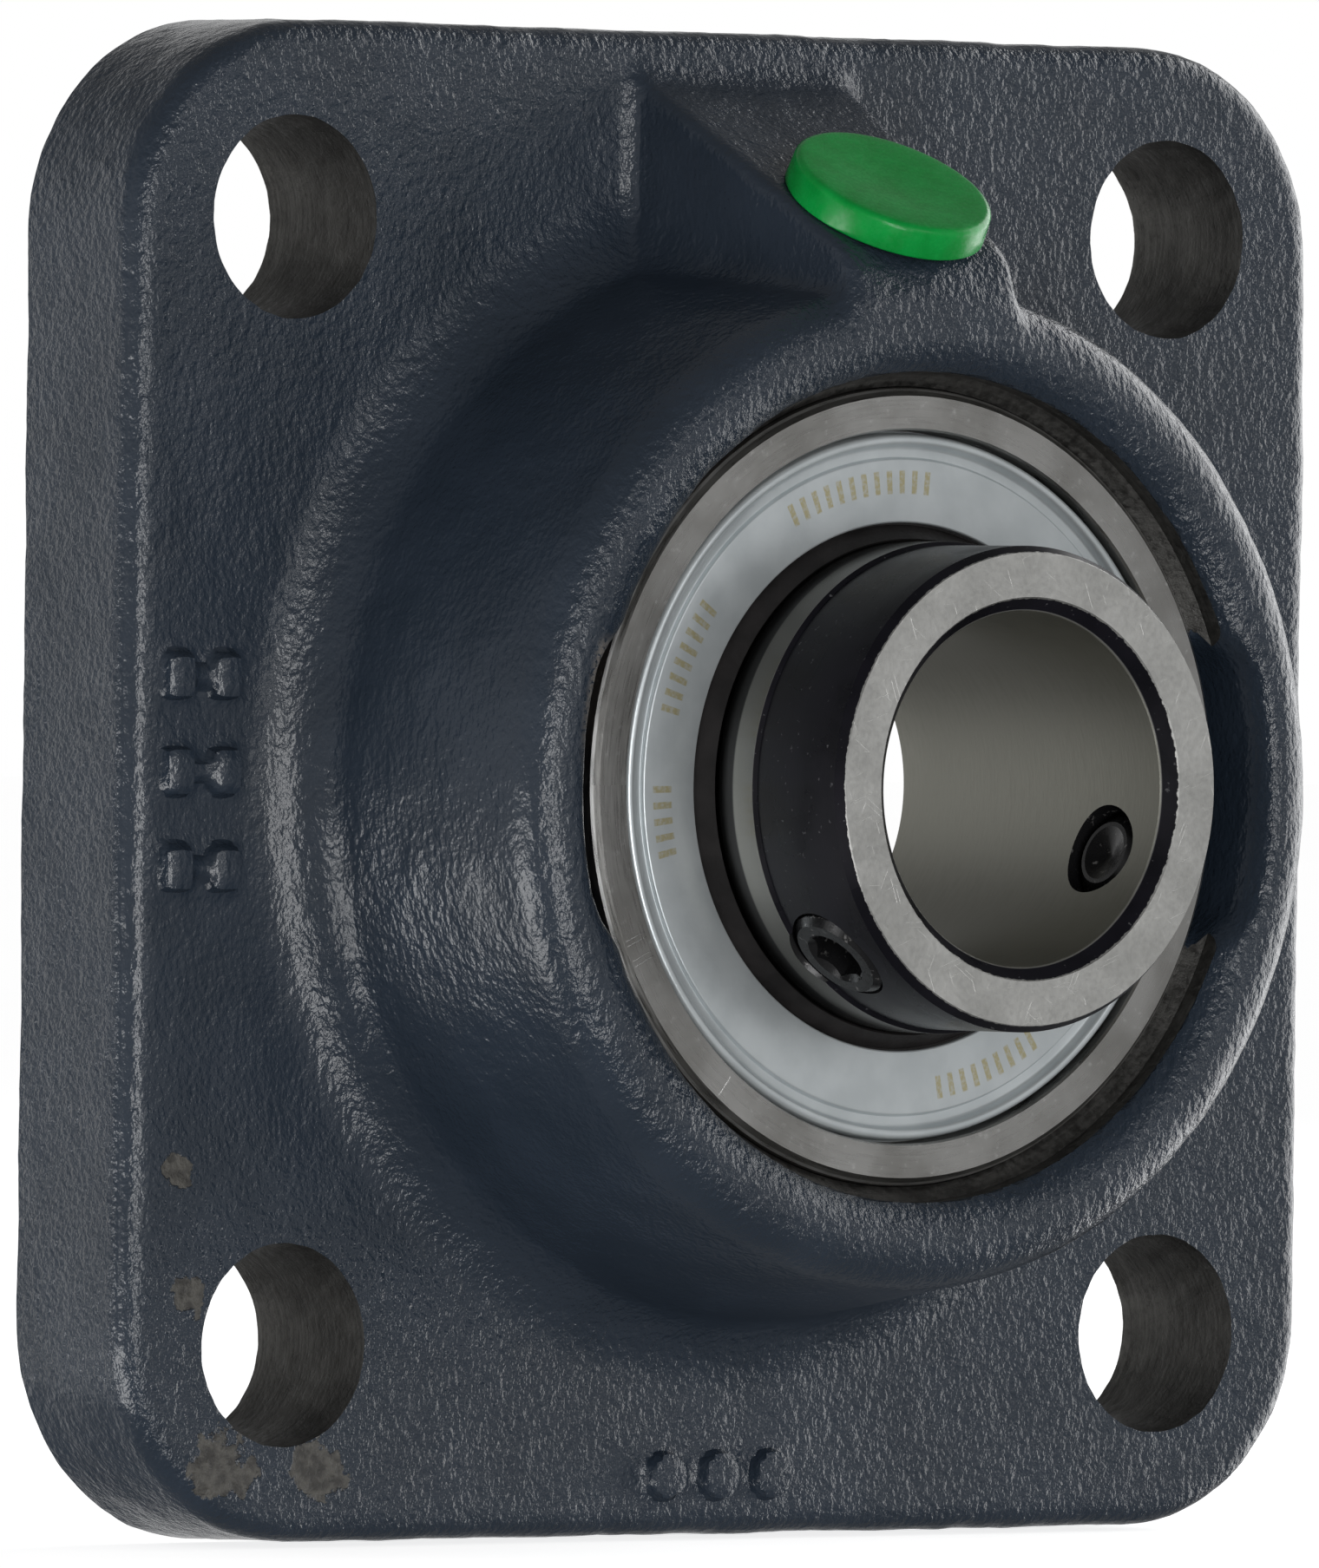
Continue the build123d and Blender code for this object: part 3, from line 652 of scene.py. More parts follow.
class Recipe:
    """One material's nodes. Lengths are millimetres in the row frame, fixed to the piece.

    Every method that isn't named after a shader input returns an output to use further.
    """

    def __init__(self, name, **shader_values):
        self.material = bpy.data.materials.new(name)
        self.material.use_nodes = True
        self.tree = self.material.node_tree
        self.shader = self.tree.nodes["Principled BSDF"]
        coordinates = self.new("TexCoord")
        self.normal = coordinates.outputs["Normal"]
        self.place = self.stretched(coordinates.outputs["Object"], (1 / MM,) * 3)
        self.x, self.minus_depth, self.up = self.split(self.place)
        for name, value in shader_values.items():
            self.feed(name, value)

    def new(self, kind):
        return self.tree.nodes.new("ShaderNode" + kind)

    def put(self, socket, value):
        if isinstance(value, bpy.types.NodeSocket):
            self.tree.links.new(value, socket)
        elif socket.type == "RGBA":
            socket.default_value = (*value, 1)
        else:
            socket.default_value = value

    def feed(self, name, value):
        """Sets one of the shader's inputs, named in lower case with underscores."""
        wanted = name.replace("_", " ").lower()
        socket = next(s for s in self.shader.inputs if s.name.lower() == wanted)
        self.put(socket, value)

    def stretched(self, vector, factors):
        node = self.new("VectorMath")
        node.operation = "MULTIPLY"
        self.put(node.inputs[0], vector)
        self.put(node.inputs[1], factors)
        return node.outputs[0]

    def split(self, vector):
        node = self.new("SeparateXYZ")
        self.put(node.inputs[0], vector)
        return node.outputs

    def joined(self, x, y, z):
        node = self.new("CombineXYZ")
        for socket, value in zip(node.inputs, (x, y, z)):
            self.put(socket, value)
        return node.outputs[0]

    def math(self, operation, *values):
        node = self.new("Math")
        node.operation = operation
        for socket, value in zip(node.inputs, values):
            self.put(socket, value)
        return node.outputs[0]

    def add(self, *values):
        total = values[0]
        for value in values[1:]:
            total = self.math("ADD", total, value)
        return total

    def times(self, *values):
        product = values[0]
        for value in values[1:]:
            product = self.math("MULTIPLY", product, value)
        return product

    def ramp(self, value, low, high, start=0.0, end=1.0):
        """Smooth step of a value from start, at low, to end, at high."""
        node = self.new("MapRange")
        node.interpolation_type = "SMOOTHSTEP"
        for socket, number in zip(node.inputs, (value, low, high, start, end)):
            self.put(socket, number)
        return node.outputs[0]

    def past(self, value, edge, soft):
        """1 where a value is more than an edge, and 0 before it."""
        return self.ramp(value, edge - soft, edge + soft)

    def before(self, value, edge, soft):
        """1 where a value is less than an edge, and 0 past it."""
        return self.ramp(value, edge - soft, edge + soft, 1.0, 0.0)

    def noise(self, size, detail=2.0, longer=(1, 1, 1), place=None, roughness=0.5):
        """Noise about 0.5, with lumps of a size that are longer along some axes."""
        node = self.new("TexNoise")
        factors = tuple(1 / (size * length) for length in longer)
        self.put(node.inputs["Vector"], self.stretched(place or self.place, factors))
        node.inputs["Scale"].default_value = 1
        node.inputs["Detail"].default_value = detail
        node.inputs["Roughness"].default_value = roughness
        return node.outputs[0]

    def mix(self, factor, first, second):
        """Colour between two colours."""
        node = self.new("Mix")
        node.data_type = "RGBA"
        self.put(node.inputs["Factor"], factor)
        colours = [socket for socket in node.inputs if socket.type == "RGBA"]
        for socket, value in zip(colours, (first, second)):
            self.put(socket, value)
        return next(socket for socket in node.outputs if socket.type == "RGBA")

    def blend(self, factor, first, second):
        """Number between two numbers."""
        node = self.new("Mix")
        self.put(node.inputs["Factor"], factor)
        self.put(node.inputs["A"], first)
        self.put(node.inputs["B"], second)
        return node.outputs["Result"]

    def relief(self, height):
        """Bumps the surface by a height in millimetres."""
        node = self.new("Bump")
        node.inputs["Strength"].default_value = 1
        node.inputs["Distance"].default_value = MM
        self.put(node.inputs["Height"], height)
        self.feed("normal", node.outputs["Normal"])

    def finished(self, colour, roughness, height):
        """Feeds what varies over every surface, and returns the material."""
        self.feed("base_color", colour)
        self.feed("roughness", roughness)
        self.relief(height)
        return self.material

    def away_from(self, point):
        """Distance from a point."""
        node = self.new("VectorMath")
        node.operation = "DISTANCE"
        self.put(node.inputs[0], self.place)
        self.put(node.inputs[1], point)
        return node.outputs["Value"]

    def from_axis(self):
        """Distance from the shaft axis, and the angle about it in degrees from +x."""
        square = self.add(self.times(self.x, self.x), self.times(self.up, self.up))
        angle = self.math("ARCTAN2", self.up, self.x)
        return self.math("SQRT", square), self.times(angle, 180 / pi)

    def band(self, value, low, high, soft):
        """1 where a value is between low and high, and 0 outside."""
        return self.math("SUBTRACT", self.past(value, low, soft), self.past(value, high, soft))

    def turned_marks(self, size, across):
        """Noise drawn out around the shaft axis, as a lathe or a grinder leaves it."""
        radius, angle = self.from_axis()
        place = self.joined(radius, self.times(angle, LAY_PER_DEGREE), across)
        return self.noise(size, 3.0, place=place)

    def scratches(self, turn_deg, keep):
        """Thin straight scratches on faces that look forwards, 1 on a scratch."""
        cosine, sine = cos(radians(turn_deg)), sin(radians(turn_deg))
        turned_x = self.add(self.times(self.x, cosine), self.times(self.up, sine))
        upright = self.times(self.up, cosine)
        turned_up = self.math("SUBTRACT", upright, self.times(self.x, sine))
        along = self.times(turned_x, SCRATCHES_PER_MM_ALONG)
        place = self.joined(along, self.times(turned_up, SCRATCHES_PER_MM_ACROSS), 0.0)
        return self.ramp(self.noise(1.0, 1.0, place=place), keep, keep + 0.05)


# Centres and radii of the spots at the bottom left where the paint is rubbed off.
BARE_SPOTS = ((-39.4, -21.9, 1.5), (-38.4, -28.9, 1.8), (-35.9, -38.4, 3.0), (-29.2, -38.8, 2.6))
PAINT = (0.0225, 0.032, 0.047)
PAINT_DARKER = (0.0175, 0.026, 0.039)
BARE_IRON = (0.085, 0.081, 0.072)
BARE_IRON_DARKER = (0.035, 0.033, 0.030)
SCRAPED_IRON = (0.13, 0.12, 0.11)
# Middle of the part of the flange, at the left, where the sand left a smoother skin.
CALM_PLACE = (-34.0, -FLANGE_THICKNESS, -4.0)


# Heights of the layers of the painted skin, in millimetres.
SAND_ON_FRONT = 0.19
SAND_ON_SIDES = 0.13
GRAINS_ON_SIDES = 0.07
GRAINS_EVERYWHERE = 0.035
PEEL_HEIGHT = 0.08
DUST_HEIGHT = 0.005
PIT_DEPTH = 0.25
TOOL_MARK_HEIGHT = 0.05


def sand_skin(paint):
    """Height of the skin: sand, finer grains, orange peel and dust."""
    normal_x, normal_y, _ = paint.split(paint.normal)
    front = paint.ramp(paint.times(normal_y, -1), 0.2, 0.85)
    side = paint.ramp(paint.math("ABSOLUTE", normal_x), 0.9, 0.995)
    low_down = paint.ramp(paint.minus_depth, -14, -9)
    sand = paint.noise(0.5, 3.0, (1, 1.3, 1.3), roughness=0.6)
    grains = paint.noise(0.33, 3.0)
    peel = paint.noise(0.4, 2.0, (1, 1, 1.4))
    dust = paint.noise(0.17, 1.0)
    calm = paint.ramp(paint.away_from(CALM_PLACE), 8, 30, 0.3, 1.0)
    sand_on_sides = paint.times(side, low_down, SAND_ON_SIDES)
    sand_height = paint.add(paint.times(front, calm, SAND_ON_FRONT), sand_on_sides)
    grain_height = paint.add(paint.times(side, low_down, GRAINS_ON_SIDES), GRAINS_EVERYWHERE)
    return paint.add(
        paint.times(sand, sand_height),
        paint.times(grains, grain_height),
        paint.times(peel, PEEL_HEIGHT),
        paint.times(dust, DUST_HEIGHT),
    )


def rubbed_spots(paint):
    """1 in the ragged spots where the paint is rubbed off."""
    worn = 0.0
    for x, up, radius in BARE_SPOTS:
        away = paint.away_from((x, -FLANGE_THICKNESS, up))
        near = paint.ramp(away, 0.2 * radius, 1.5 * radius, 1.0, 0.0)
        worn = paint.math("MAXIMUM", worn, near)
    ragged = paint.noise(2.0, 4.0, roughness=0.6)
    return paint.ramp(paint.add(worn, paint.times(ragged, 1.9)), 1.62, 1.7)


def scraped_slot(paint, tool_marks):
    """1 where a tool has scraped the upper side of the left loading slot."""
    radius, _ = paint.from_axis()
    height = paint.math("ABSOLUTE", paint.up)
    beside = paint.before(height, SLOT_HALF_WIDTH - 0.6, 0.6)
    wall = paint.times(beside, paint.band(radius, 23.0, SLOT_MOUTH_RADIUS + 0.9, 0.35))
    upper_left = paint.times(paint.before(paint.x, -19.5, 0.5), paint.past(paint.up, 2.5, 2.5))
    return paint.times(wall, upper_left, paint.ramp(tool_marks, 0.36, 0.5))


def housing_paint():
    """Dark blue-grey semi-gloss paint over a sand casting, rubbed off in a few spots."""
    paint = Recipe("housing_paint", specular_ior_level=0.5)
    bare = rubbed_spots(paint)
    tool_marks = paint.noise(0.35, 3.0, (1, 8, 0.7))
    slot_wall = scraped_slot(paint, tool_marks)
    clouds = paint.noise(7.0, 3.0)
    colour = paint.mix(paint.ramp(clouds, 0.35, 0.65), PAINT, PAINT_DARKER)
    crust = paint.noise(0.6, 4.0)
    iron = paint.mix(paint.ramp(crust, 0.35, 0.65), BARE_IRON_DARKER, BARE_IRON)
    colour = paint.mix(bare, colour, iron)
    colour = paint.mix(slot_wall, colour, SCRAPED_IRON)
    painted = paint.ramp(clouds, 0.3, 0.7, 0.2, 0.27)
    roughness = paint.blend(paint.math("MAXIMUM", bare, slot_wall), painted, 0.6)
    pitted = paint.times(bare, paint.add(paint.times(crust, PIT_DEPTH), -0.2))
    scraped = paint.times(slot_wall, tool_marks, TOOL_MARK_HEIGHT)
    return paint.finished(colour, roughness, paint.add(sand_skin(paint), pitted, scraped))


# Colours of bare machined iron: the bored seat, darkened as painted shade in the bearing's mouth,
# the bolt holes and the faced back.
# The seat's colours are darker than bare iron: painted shade in the bearing's mouth.
SHADED_SEAT_IRON = ((0.035, 0.034, 0.032), (0.10, 0.098, 0.093))
HOLE_IRON = ((0.026, 0.025, 0.023), (0.090, 0.088, 0.082))
FACED_IRON = ((0.2, 0.197, 0.188), (0.3, 0.296, 0.284))


def machined_iron():
    """Bare iron: a bored seat darkened with painted shade, a faced back, and grainy bolt holes."""
    iron = Recipe("machined_iron", metallic=0.85)
    radius, _ = iron.from_axis()
    # Inside this radius the bored seat is painted darker, as shade in the bearing's mouth.
    seat_in_shade = iron.before(radius, 26.5, 0.5)
    back = iron.past(iron.minus_depth, -0.04, 0.02)
    rings = iron.noise(0.22, 3.0, (30, 1, 30))
    faced = iron.turned_marks(0.45, 0.0)
    grains = iron.noise(0.45, 4.0, roughness=0.65)
    blotches = iron.noise(3.5, 3.0)
    shade = iron.add(iron.times(rings, 0.25), iron.times(grains, 0.4), iron.times(blotches, 0.35))
    shade = iron.ramp(shade, 0.35, 0.65)
    dark = iron.mix(seat_in_shade, HOLE_IRON[0], SHADED_SEAT_IRON[0])
    light = iron.mix(seat_in_shade, HOLE_IRON[1], SHADED_SEAT_IRON[1])
    lay = iron.ramp(iron.add(iron.times(faced, 0.8), iron.times(grains, 0.2)), 0.3, 0.7)
    faced_colour = iron.mix(lay, *FACED_IRON)
    colour = iron.mix(back, iron.mix(shade, dark, light), faced_colour)
    roughness = iron.ramp(grains, 0.3, 0.7, 0.38, 0.6)
    marks = iron.times(faced, back, 0.02)
    height = iron.add(iron.times(rings, 0.012), iron.times(grains, 0.05), marks)
    return iron.finished(colour, roughness, height)


# Angles, from +x, of short bright nicks across the face of the outer ring.
RING_NICKS = (203.5, 204.3, 206.7, 207.6, 232.3)
NICK_HALF_WIDTH = 0.08
GROUND_STEEL = ((0.29, 0.285, 0.272), (0.41, 0.407, 0.395))
# Painted shade on the sphere of the outer ring, deep in the seat.
SPHERE_SHADE_STEEL = (0.2, 0.19, 0.185)
# Bright fresh steel of the nicks and grit, also used for the painted highlight along the ring's
# edge.
NICK_AND_HIGHLIGHT_STEEL = (0.85, 0.85, 0.84)


def bearing_steel():
    """Ground steel of the outer ring: its sphere darkened as painted shade, a painted highlight
    along its front edge, and a nicked face.
    """
    steel = Recipe("bearing_steel", metallic=1.0)
    radius, angle = steel.from_axis()
    whole_turn = steel.math("FLOORED_MODULO", angle, 360.0)
    from_middle = steel.math("ABSOLUTE", steel.add(steel.minus_depth, SEAT_CENTRE_DEPTH))
    # The sphere, hidden in the seat, is painted darker: painted shade.
    shaded_sphere = steel.times(steel.past(radius, 20.7, 0.1), steel.before(from_middle, 6.6, 0.02))
    # A thin painted highlight along the front edge of the ring.
    edge = steel.times(steel.band(from_middle, 6.60, 6.74, 0.02), steel.past(radius, 21.55, 0.05))
    rings = steel.turned_marks(0.12, steel.times(steel.minus_depth, 0.3))
    stains = steel.noise(4.0, 4.0)
    colour = steel.mix(steel.ramp(stains, 0.3, 0.7), *GROUND_STEEL)
    colour = steel.mix(shaded_sphere, colour, SPHERE_SHADE_STEEL)
    nicks = 0.0
    for nick in RING_NICKS:
        mark = steel.band(whole_turn, nick - NICK_HALF_WIDTH, nick + NICK_HALF_WIDTH, 0.06)
        nicks = steel.math("MAXIMUM", nicks, mark)
    face = steel.times(steel.band(radius, 20.75, 21.9, 0.2), steel.past(from_middle, 6.925, 0.025))
    nicks = steel.times(nicks, face)
    grit = steel.ramp(steel.noise(0.5, 4.0), 0.62, 0.75)
    bright = steel.math("MAXIMUM", steel.math("MAXIMUM", nicks, edge), steel.times(grit, 0.25))
    # Nicks and grit in bright fresh steel, and the painted highlight on the edge.
    colour = steel.mix(steel.times(bright, 0.9), colour, NICK_AND_HIGHLIGHT_STEEL)
    roughness = steel.ramp(rings, 0.25, 0.75, 0.24, 0.4)
    height = steel.add(steel.times(rings, 0.004), steel.times(nicks, 0.03))
    return steel.finished(colour, roughness, height)


# Where the looks of the inner ring change: depths, and radii.
END_FACE_DEPTH = 37.125
COLLAR_DEPTH = 29.39
# Behind this depth the land is painted dark: painted shadow and reflection of the seal lip.
LIP_SHADE_DEPTH = 27.65
REAR_DEPTH = 27.45
BORE_RADIUS = 10.07
LAND_RADIUS = 13.75
REAR_LAND_RADIUS = 10.75
# Directions of the scratches on the end face, and how rare each set is.
SCRATCHES = ((20, 0.72), (-35, 0.74), (66, 0.75), (-70, 0.74), (2, 0.76))
END_FACE_STEEL = ((0.40, 0.40, 0.385), (0.58, 0.58, 0.56))
BORE_STEEL = ((0.24, 0.238, 0.207), (0.28, 0.277, 0.243))
LAND_STEEL = (0.135, 0.131, 0.12)
# Painted shadow and reflection of the seal lip on the ground land.
LIP_SHADE_ON_LAND = (0.02, 0.0195, 0.019)
BLACK_OXIDE = ((0.004, 0.004, 0.006), (0.007, 0.0065, 0.010))


def end_face_scratches(ring, end_face):
    scratch = 0.0
    for turn_deg, keep in SCRATCHES:
        scratch = ring.math("MAXIMUM", scratch, ring.scratches(turn_deg, keep))
    return ring.times(scratch, end_face)


def inner_ring_regions(ring, depth):
    """Masks of the bore, the end face, the front land and both ground lands."""
    radius, _ = ring.from_axis()
    chips = ring.noise(0.3, 4.0)
    in_bore = ring.before(radius, BORE_RADIUS, 0.05)
    end_face = ring.past(ring.add(depth, ring.times(chips, 0.2)), END_FACE_DEPTH, 0.015)
    behind_collar = ring.before(depth, COLLAR_DEPTH, 0.03)
    on_land = ring.times(behind_collar, ring.past(radius, LAND_RADIUS, 0.03))
    rear_land = ring.past(radius, REAR_LAND_RADIUS, 0.05)
    rear_land = ring.times(ring.before(depth, REAR_DEPTH, 0.05), rear_land)
    ground_land = ring.math("MAXIMUM", on_land, rear_land)
    return in_bore, end_face, on_land, ground_land


def inner_ring_steel():
    """Ground land and end face, blackened collar, and a honed bore; the land next to the seal lip
    is painted dark as the lip's shadow and reflection.
    """
    ring = Recipe("inner_ring_steel", specular_ior_level=0.15)
    depth = ring.times(ring.minus_depth, -1)
    in_bore, end_face, on_land, ground_land = inner_ring_regions(ring, depth)
    bright = ring.math("MAXIMUM", ring.math("MAXIMUM", in_bore, end_face), ground_land)
    scratch = end_face_scratches(ring, end_face)
    rings = ring.turned_marks(0.15, ring.times(ring.minus_depth, 1.0))
    hone = ring.noise(0.2, 3.0, (6, 1, 6))
    clouds = ring.noise(3.0, 4.0)
    soft_clouds = ring.ramp(clouds, 0.3, 0.7)
    grain = ring.noise(0.3, 4.0, roughness=0.65)
    face_shade = ring.add(ring.times(soft_clouds, 0.5), ring.times(grain, 0.5))
    # Painted shadow and reflection of the seal lip on the land behind this depth.
    lip_shade = ring.times(ring.before(depth, LIP_SHADE_DEPTH, 0.1), on_land)
    face = ring.mix(face_shade, *END_FACE_STEEL)
    bore = ring.mix(ring.ramp(hone, 0.25, 0.75), *BORE_STEEL)
    land = ring.mix(lip_shade, LAND_STEEL, LIP_SHADE_ON_LAND)
    metal = ring.mix(in_bore, ring.mix(on_land, face, land), bore)
    metal = ring.mix(ring.times(scratch, 0.5), metal, (0.9, 0.9, 0.88))
    oxide = ring.mix(soft_clouds, *BLACK_OXIDE)
    specks = ring.ramp(ring.noise(0.35, 3.0), 0.68, 0.74)
    oxide = ring.mix(ring.times(specks, 0.35), oxide, (0.2, 0.2, 0.21))
    ring.feed("metallic", bright)
    roughness = ring.blend(ground_land, ring.ramp(grain, 0.25, 0.75, 0.32, 0.46), 0.24)
    roughness = ring.blend(in_bore, roughness, ring.ramp(hone, 0.25, 0.75, 0.34, 0.46))
    roughness = ring.blend(bright, ring.ramp(clouds, 0.3, 0.7, 0.25, 0.34), roughness)
    height = ring.add(
        ring.times(rings, 0.003),
        ring.times(grain, end_face, 0.006),
        ring.times(hone, in_bore, 0.002),
        ring.times(scratch, -0.008),
    )
    return ring.finished(ring.mix(bright, oxide, metal), roughness, height)


# Angles, from +x, and lengths, in degrees, of the rows of small etched dashes.
DASH_ROWS = ((100.5, 36.0), (155.25, 22.5), (187.0, 14.0), (292.0, 26.0))
DASH_PITCH_DEG = 3.0
DASH_RADII = (16.6, 17.9)
ZINC = ((0.52, 0.56, 0.575), (0.59, 0.63, 0.645))
ETCHED_ZINC = (0.42, 0.36, 0.16)


def washer_zinc():
    """Zinc plate with faint smudges, and rows of plain etched dashes at the front."""
    zinc = Recipe("washer_zinc", metallic=0.6)
    radius, angle = zinc.from_axis()
    smudges = zinc.noise(2.6, 4.0)
    crystals = zinc.noise(0.25, 3.0)
    brushed = zinc.turned_marks(0.5, 0.0)
    colour = zinc.mix(zinc.ramp(smudges, 0.3, 0.7), *ZINC)
    whole_turn = zinc.math("FLOORED_MODULO", angle, 360.0)
    rows = 0.0
    for middle, length in DASH_ROWS:
        row = zinc.band(whole_turn, middle - length / 2, middle + length / 2, 0.2)
        rows = zinc.math("MAXIMUM", rows, row)
    wave = zinc.math("SINE", zinc.times(whole_turn, 2 * pi / DASH_PITCH_DEG))
    dash = zinc.ramp(wave, 0.15, 0.35)
    print_depth = zinc.before(zinc.minus_depth, -25.35, 0.05)
    etched = zinc.times(rows, dash, zinc.band(radius, *DASH_RADII, 0.06), print_depth)
    etched = zinc.times(etched, zinc.ramp(crystals, 0.3, 0.6, 0.35, 0.8))
    colour = zinc.mix(etched, colour, ETCHED_ZINC)
    roughness = zinc.add(zinc.times(smudges, 0.07), zinc.times(brushed, 0.1), 0.25)
    height = zinc.add(zinc.times(crystals, 0.004), zinc.times(smudges, 0.004))
    return zinc.finished(colour, roughness, height)


def seal_rubber():
    """Moulded black rubber, slightly dusty."""
    rubber = Recipe("seal_rubber", specular_ior_level=0.28)
    skin = rubber.noise(0.25, 3.0)
    bloom = rubber.noise(2.5, 3.0)
    colour = rubber.mix(rubber.ramp(bloom, 0.3, 0.7), (0.010, 0.009, 0.009), (0.020, 0.018, 0.018))
    roughness = rubber.ramp(skin, 0.3, 0.7, 0.42, 0.6)
    return rubber.finished(colour, roughness, rubber.times(skin, 0.008))


def cage_polyamide():
    """Natural polyamide with fine glass-fibre flow lines."""
    plastic = Recipe("cage_polyamide")
    fibres = plastic.noise(0.15, 3.0, (1, 5, 1))
    clouds = plastic.noise(3.0, 3.0)
    colour = plastic.mix(clouds, (0.52, 0.42, 0.24), (0.62, 0.52, 0.33))
    roughness = plastic.ramp(fibres, 0.3, 0.7, 0.35, 0.55)
    return plastic.finished(colour, roughness, plastic.times(fibres, 0.008))


def ball_steel():
    """Lapped steel with a thin film of grease."""
    steel = Recipe("ball_steel", metallic=1.0)
    film = steel.noise(2.0, 3.0)
    colour = steel.mix(film, (0.55, 0.55, 0.54), (0.66, 0.66, 0.65))
    roughness = steel.ramp(film, 0.3, 0.7, 0.06, 0.18)
    return steel.finished(colour, roughness, steel.times(film, 0.004))


def screw_steel():
    """Black oxide on steel, with bright rubbed specks."""
    steel = Recipe("screw_steel", metallic=0.35)
    wear = steel.noise(0.5, 4.0)
    grains = steel.noise(0.12, 2.0)
    colour = steel.mix(steel.ramp(wear, 0.62, 0.74), (0.012, 0.012, 0.013), (0.22, 0.215, 0.21))
    roughness = steel.ramp(wear, 0.3, 0.7, 0.3, 0.2)
    return steel.finished(colour, roughness, steel.times(grains, 0.004))


def plug_plastic():
    """Moulded green plastic, glossy and faintly mottled."""
    plastic = Recipe("plug_plastic", specular_ior_level=0.3, subsurface_weight=0.08)
    plastic.feed("subsurface_radius", (0.2, 1.0, 0.35))
    plastic.feed("subsurface_scale", 0.6 * MM)
    mottle = plastic.noise(1.6, 3.0)
    skin = plastic.noise(0.28, 2.0)
    colour = plastic.mix(plastic.ramp(mottle, 0.3, 0.7), (0.0, 0.25, 0.035), (0.002, 0.31, 0.05))
    roughness = plastic.ramp(skin, 0.3, 0.7, 0.2, 0.34)
    height = plastic.add(plastic.times(skin, 0.008), plastic.times(mottle, 0.02))
    return plastic.finished(colour, roughness, height)


# ------ dressing the pieces


def dress(node, material):
    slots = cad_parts[node].data.materials
    slots.clear()
    slots.append(material)


def dress_insert():
    """Gives every piece of the insert, and the plug, its shape and material."""
    zinc, rubber = washer_zinc(), seal_rubber()
    screw, ball = screw_steel(), ball_steel()
    for side in ("front", "rear"):
        make_washer(side, zinc)
        dress(f"{side}_seal_inner_washer", zinc)
        dress(f"{side}_seal_lip", rubber)
    dress("outer_ring", bearing_steel())
    make_inner_ring(inner_ring_steel(), screw)
    dress("cage", cage_polyamide())
    make_plug(plug_plastic())
    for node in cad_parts:
        if node.startswith("set_screw"):
            dress(node, screw)
        if node.startswith("ball_"):
            dress(node, ball)


# ------ studio

CAMERA_AZIMUTH_DEG = -38.03
CAMERA_ELEVATION_DEG = 0.33
CAMERA_ROLL_DEG = -0.62
CAMERA_DISTANCE = 1.2416
CAMERA_LENS = 495.49
# The point in the middle of the view is this far from the origin, across and up.
AIM = (0.002017, -0.000125)
# The floor clears the rough skin of the casting.
FLOOR_GAP = 0.25
FLOOR_HALF_SIDE = 6.0
ROOM_LEVEL = 0.46
ROOM_LEVEL_OVERHEAD = 0.15
BACKDROP_LEVEL = 0.6
# Each lamp's name, azimuth, elevation, distance, width and height, and radiance.
LAMPS = (
    ("key", -23, -8, 0.9, (0.28, 0.66), 6.5),
    ("second", 10, 11, 0.9, (0.25, 0.2), 2.5),
    ("left", -99, -23, 0.55, (0.3, 0.2), 6.0),
    ("right", 92, 8, 0.8, (0.8, 0.9), 2.6),
)


def direction(azimuth_deg, elevation_deg):
    """Unit vector from the object; azimuth 0 is straight in front, and 90 at the right."""
    azimuth, elevation = radians(azimuth_deg), radians(elevation_deg)
    flat = cos(elevation)
    return Vector((sin(azimuth) * flat, -cos(azimuth) * flat, sin(elevation)))


def make_camera():
    back = direction(CAMERA_AZIMUTH_DEG, CAMERA_ELEVATION_DEG)
    level = Vector((cos(radians(CAMERA_AZIMUTH_DEG)), sin(radians(CAMERA_AZIMUTH_DEG)), 0))
    roll = Matrix.Rotation(radians(-CAMERA_ROLL_DEG), 3, back)
    right = roll @ level
    up = back.cross(right)
    place = back * CAMERA_DISTANCE
    backward = (place - right * AIM[0] - up * AIM[1]).normalized()
    across = up.cross(backward).normalized()
    upward = backward.cross(across)
    data = bpy.data.cameras.new("camera")
    data.lens = CAMERA_LENS
    data.clip_end = 100
    camera = bpy.data.objects.new("camera", data)
    turn_matrix = Matrix((across, upward, backward)).transposed().to_4x4()
    camera.matrix_world = Matrix.Translation(place) @ turn_matrix
    link(camera)
    bpy.context.scene.camera = camera


def softbox(name, azimuth_deg, elevation_deg, distance, size, radiance):
    """Rectangular lamp that faces the object; size is its width and height in metres."""
    data = bpy.data.lights.new(name, "AREA")
    data.shape = "RECTANGLE"
    data.size, data.size_y = size
    data.energy = radiance * pi * size[0] * size[1]
    lamp = bpy.data.objects.new(name, data)
    toward = direction(azimuth_deg, elevation_deg)
    lamp.location = toward * distance
    lamp.rotation_euler = toward.to_track_quat("Z", "Y").to_euler()
    lamp.visible_camera = False
    link(lamp)


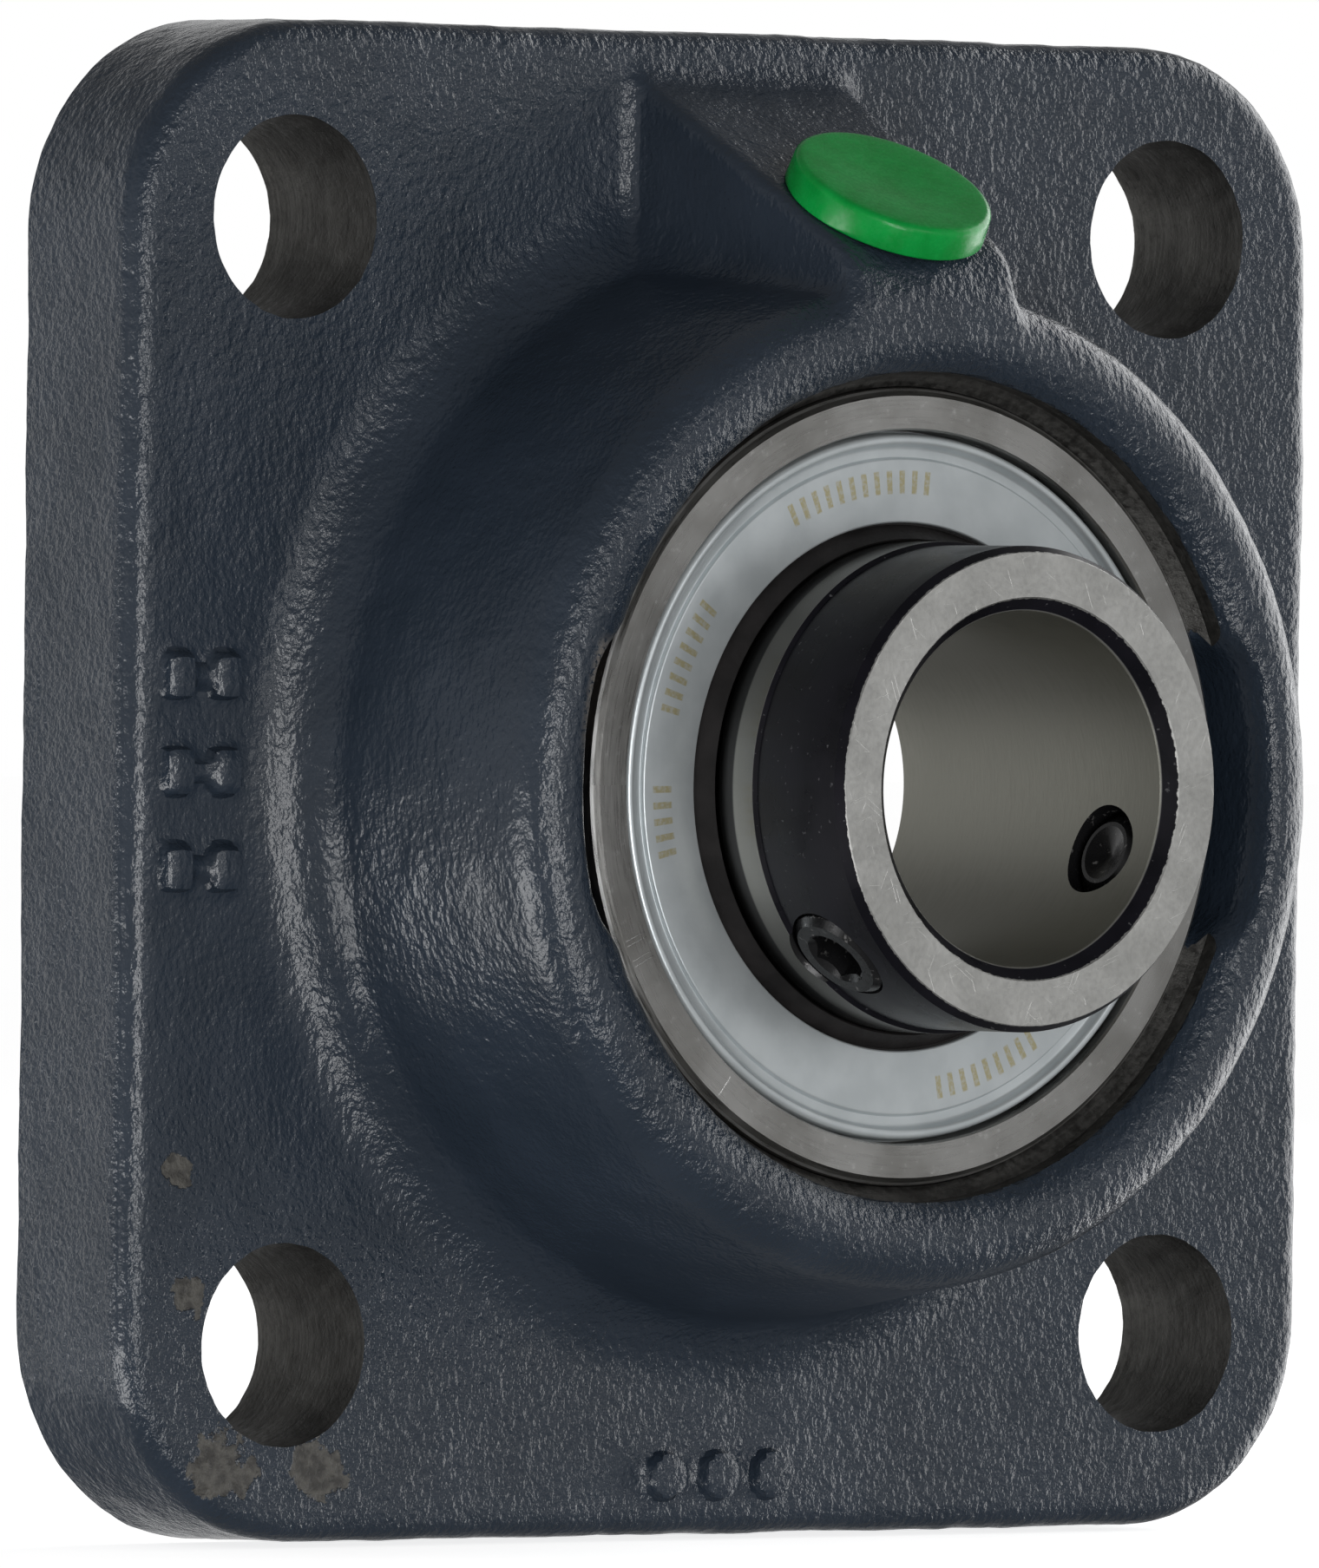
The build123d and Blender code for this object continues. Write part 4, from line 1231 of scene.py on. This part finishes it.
def make_world():
    """White to the camera. To the object, a dim room with a pale backdrop behind it."""
    world = bpy.data.worlds.new("studio")
    world.use_nodes = True
    bpy.context.scene.world = world
    tree = world.node_tree
    background = tree.nodes["Background"]
    background.inputs["Color"].default_value = (1, 1, 1, 1)

    def fade(value, low, high, start, end):
        node = tree.nodes.new("ShaderNodeMapRange")
        node.interpolation_type = "SMOOTHSTEP"
        tree.links.new(value, node.inputs[0])
        for socket, number in zip(node.inputs[1:5], (low, high, start, end)):
            socket.default_value = number
        return node.outputs[0]

    def combined(operation, first, second=None):
        node = tree.nodes.new("ShaderNodeMath")
        node.operation = operation
        tree.links.new(first, node.inputs[0])
        if second:
            tree.links.new(second, node.inputs[1])
        return node.outputs[0]

    coordinates = tree.nodes.new("ShaderNodeTexCoord")
    toward = tree.nodes.new("ShaderNodeSeparateXYZ")
    tree.links.new(coordinates.outputs["Generated"], toward.inputs[0])
    steepness = combined("ABSOLUTE", toward.outputs["Z"])
    room = fade(steepness, 0.0, 0.8, ROOM_LEVEL, ROOM_LEVEL_OVERHEAD)
    behind = fade(toward.outputs["Y"], 0.55, 0.92, 0.0, BACKDROP_LEVEL)
    backdrop = combined("MULTIPLY", behind, fade(steepness, 0.25, 0.6, 1.0, 0.0))
    backdrop = combined("MULTIPLY", backdrop, fade(toward.outputs["X"], -0.6, -0.2, 0.4, 1.0))
    seen = tree.nodes.new("ShaderNodeLightPath")
    strength = tree.nodes.new("ShaderNodeMix")
    tree.links.new(seen.outputs["Is Camera Ray"], strength.inputs["Factor"])
    tree.links.new(combined("ADD", room, backdrop), strength.inputs["A"])
    strength.inputs["B"].default_value = 1
    tree.links.new(strength.outputs["Result"], background.inputs["Strength"])


def make_floor():
    level = (-FLANGE_HALF - FLOOR_GAP) * MM
    mesh = bpy.data.meshes.new("floor")
    side = FLOOR_HALF_SIDE
    corners = [(x * side, y * side, level) for x, y in ((-1, -1), (1, -1), (1, 1), (-1, 1))]
    mesh.from_pydata(corners, [], [(0, 1, 2, 3)])
    floor = bpy.data.objects.new("floor", mesh)
    link(floor)
    floor.visible_diffuse = False
    floor.visible_glossy = False
    floor.visible_shadow = False
    card = Recipe("floor_card", specular_ior_level=0.0, roughness=1.0)
    tint = card.noise(400.0, 2.0)
    card.feed("base_color", card.mix(tint, (0.80, 0.80, 0.80), (0.84, 0.84, 0.84)))
    card.feed("emission_color", (1.0, 1.0, 1.0))
    card.feed("emission_strength", 0.8)
    mesh.materials.append(card.material)


make_housing((housing_paint(), machined_iron()))
dress_insert()
make_world()
make_floor()
for lamp in LAMPS:
    softbox(*lamp)
make_camera()
bpy.context.scene.view_settings.view_transform = "Standard"
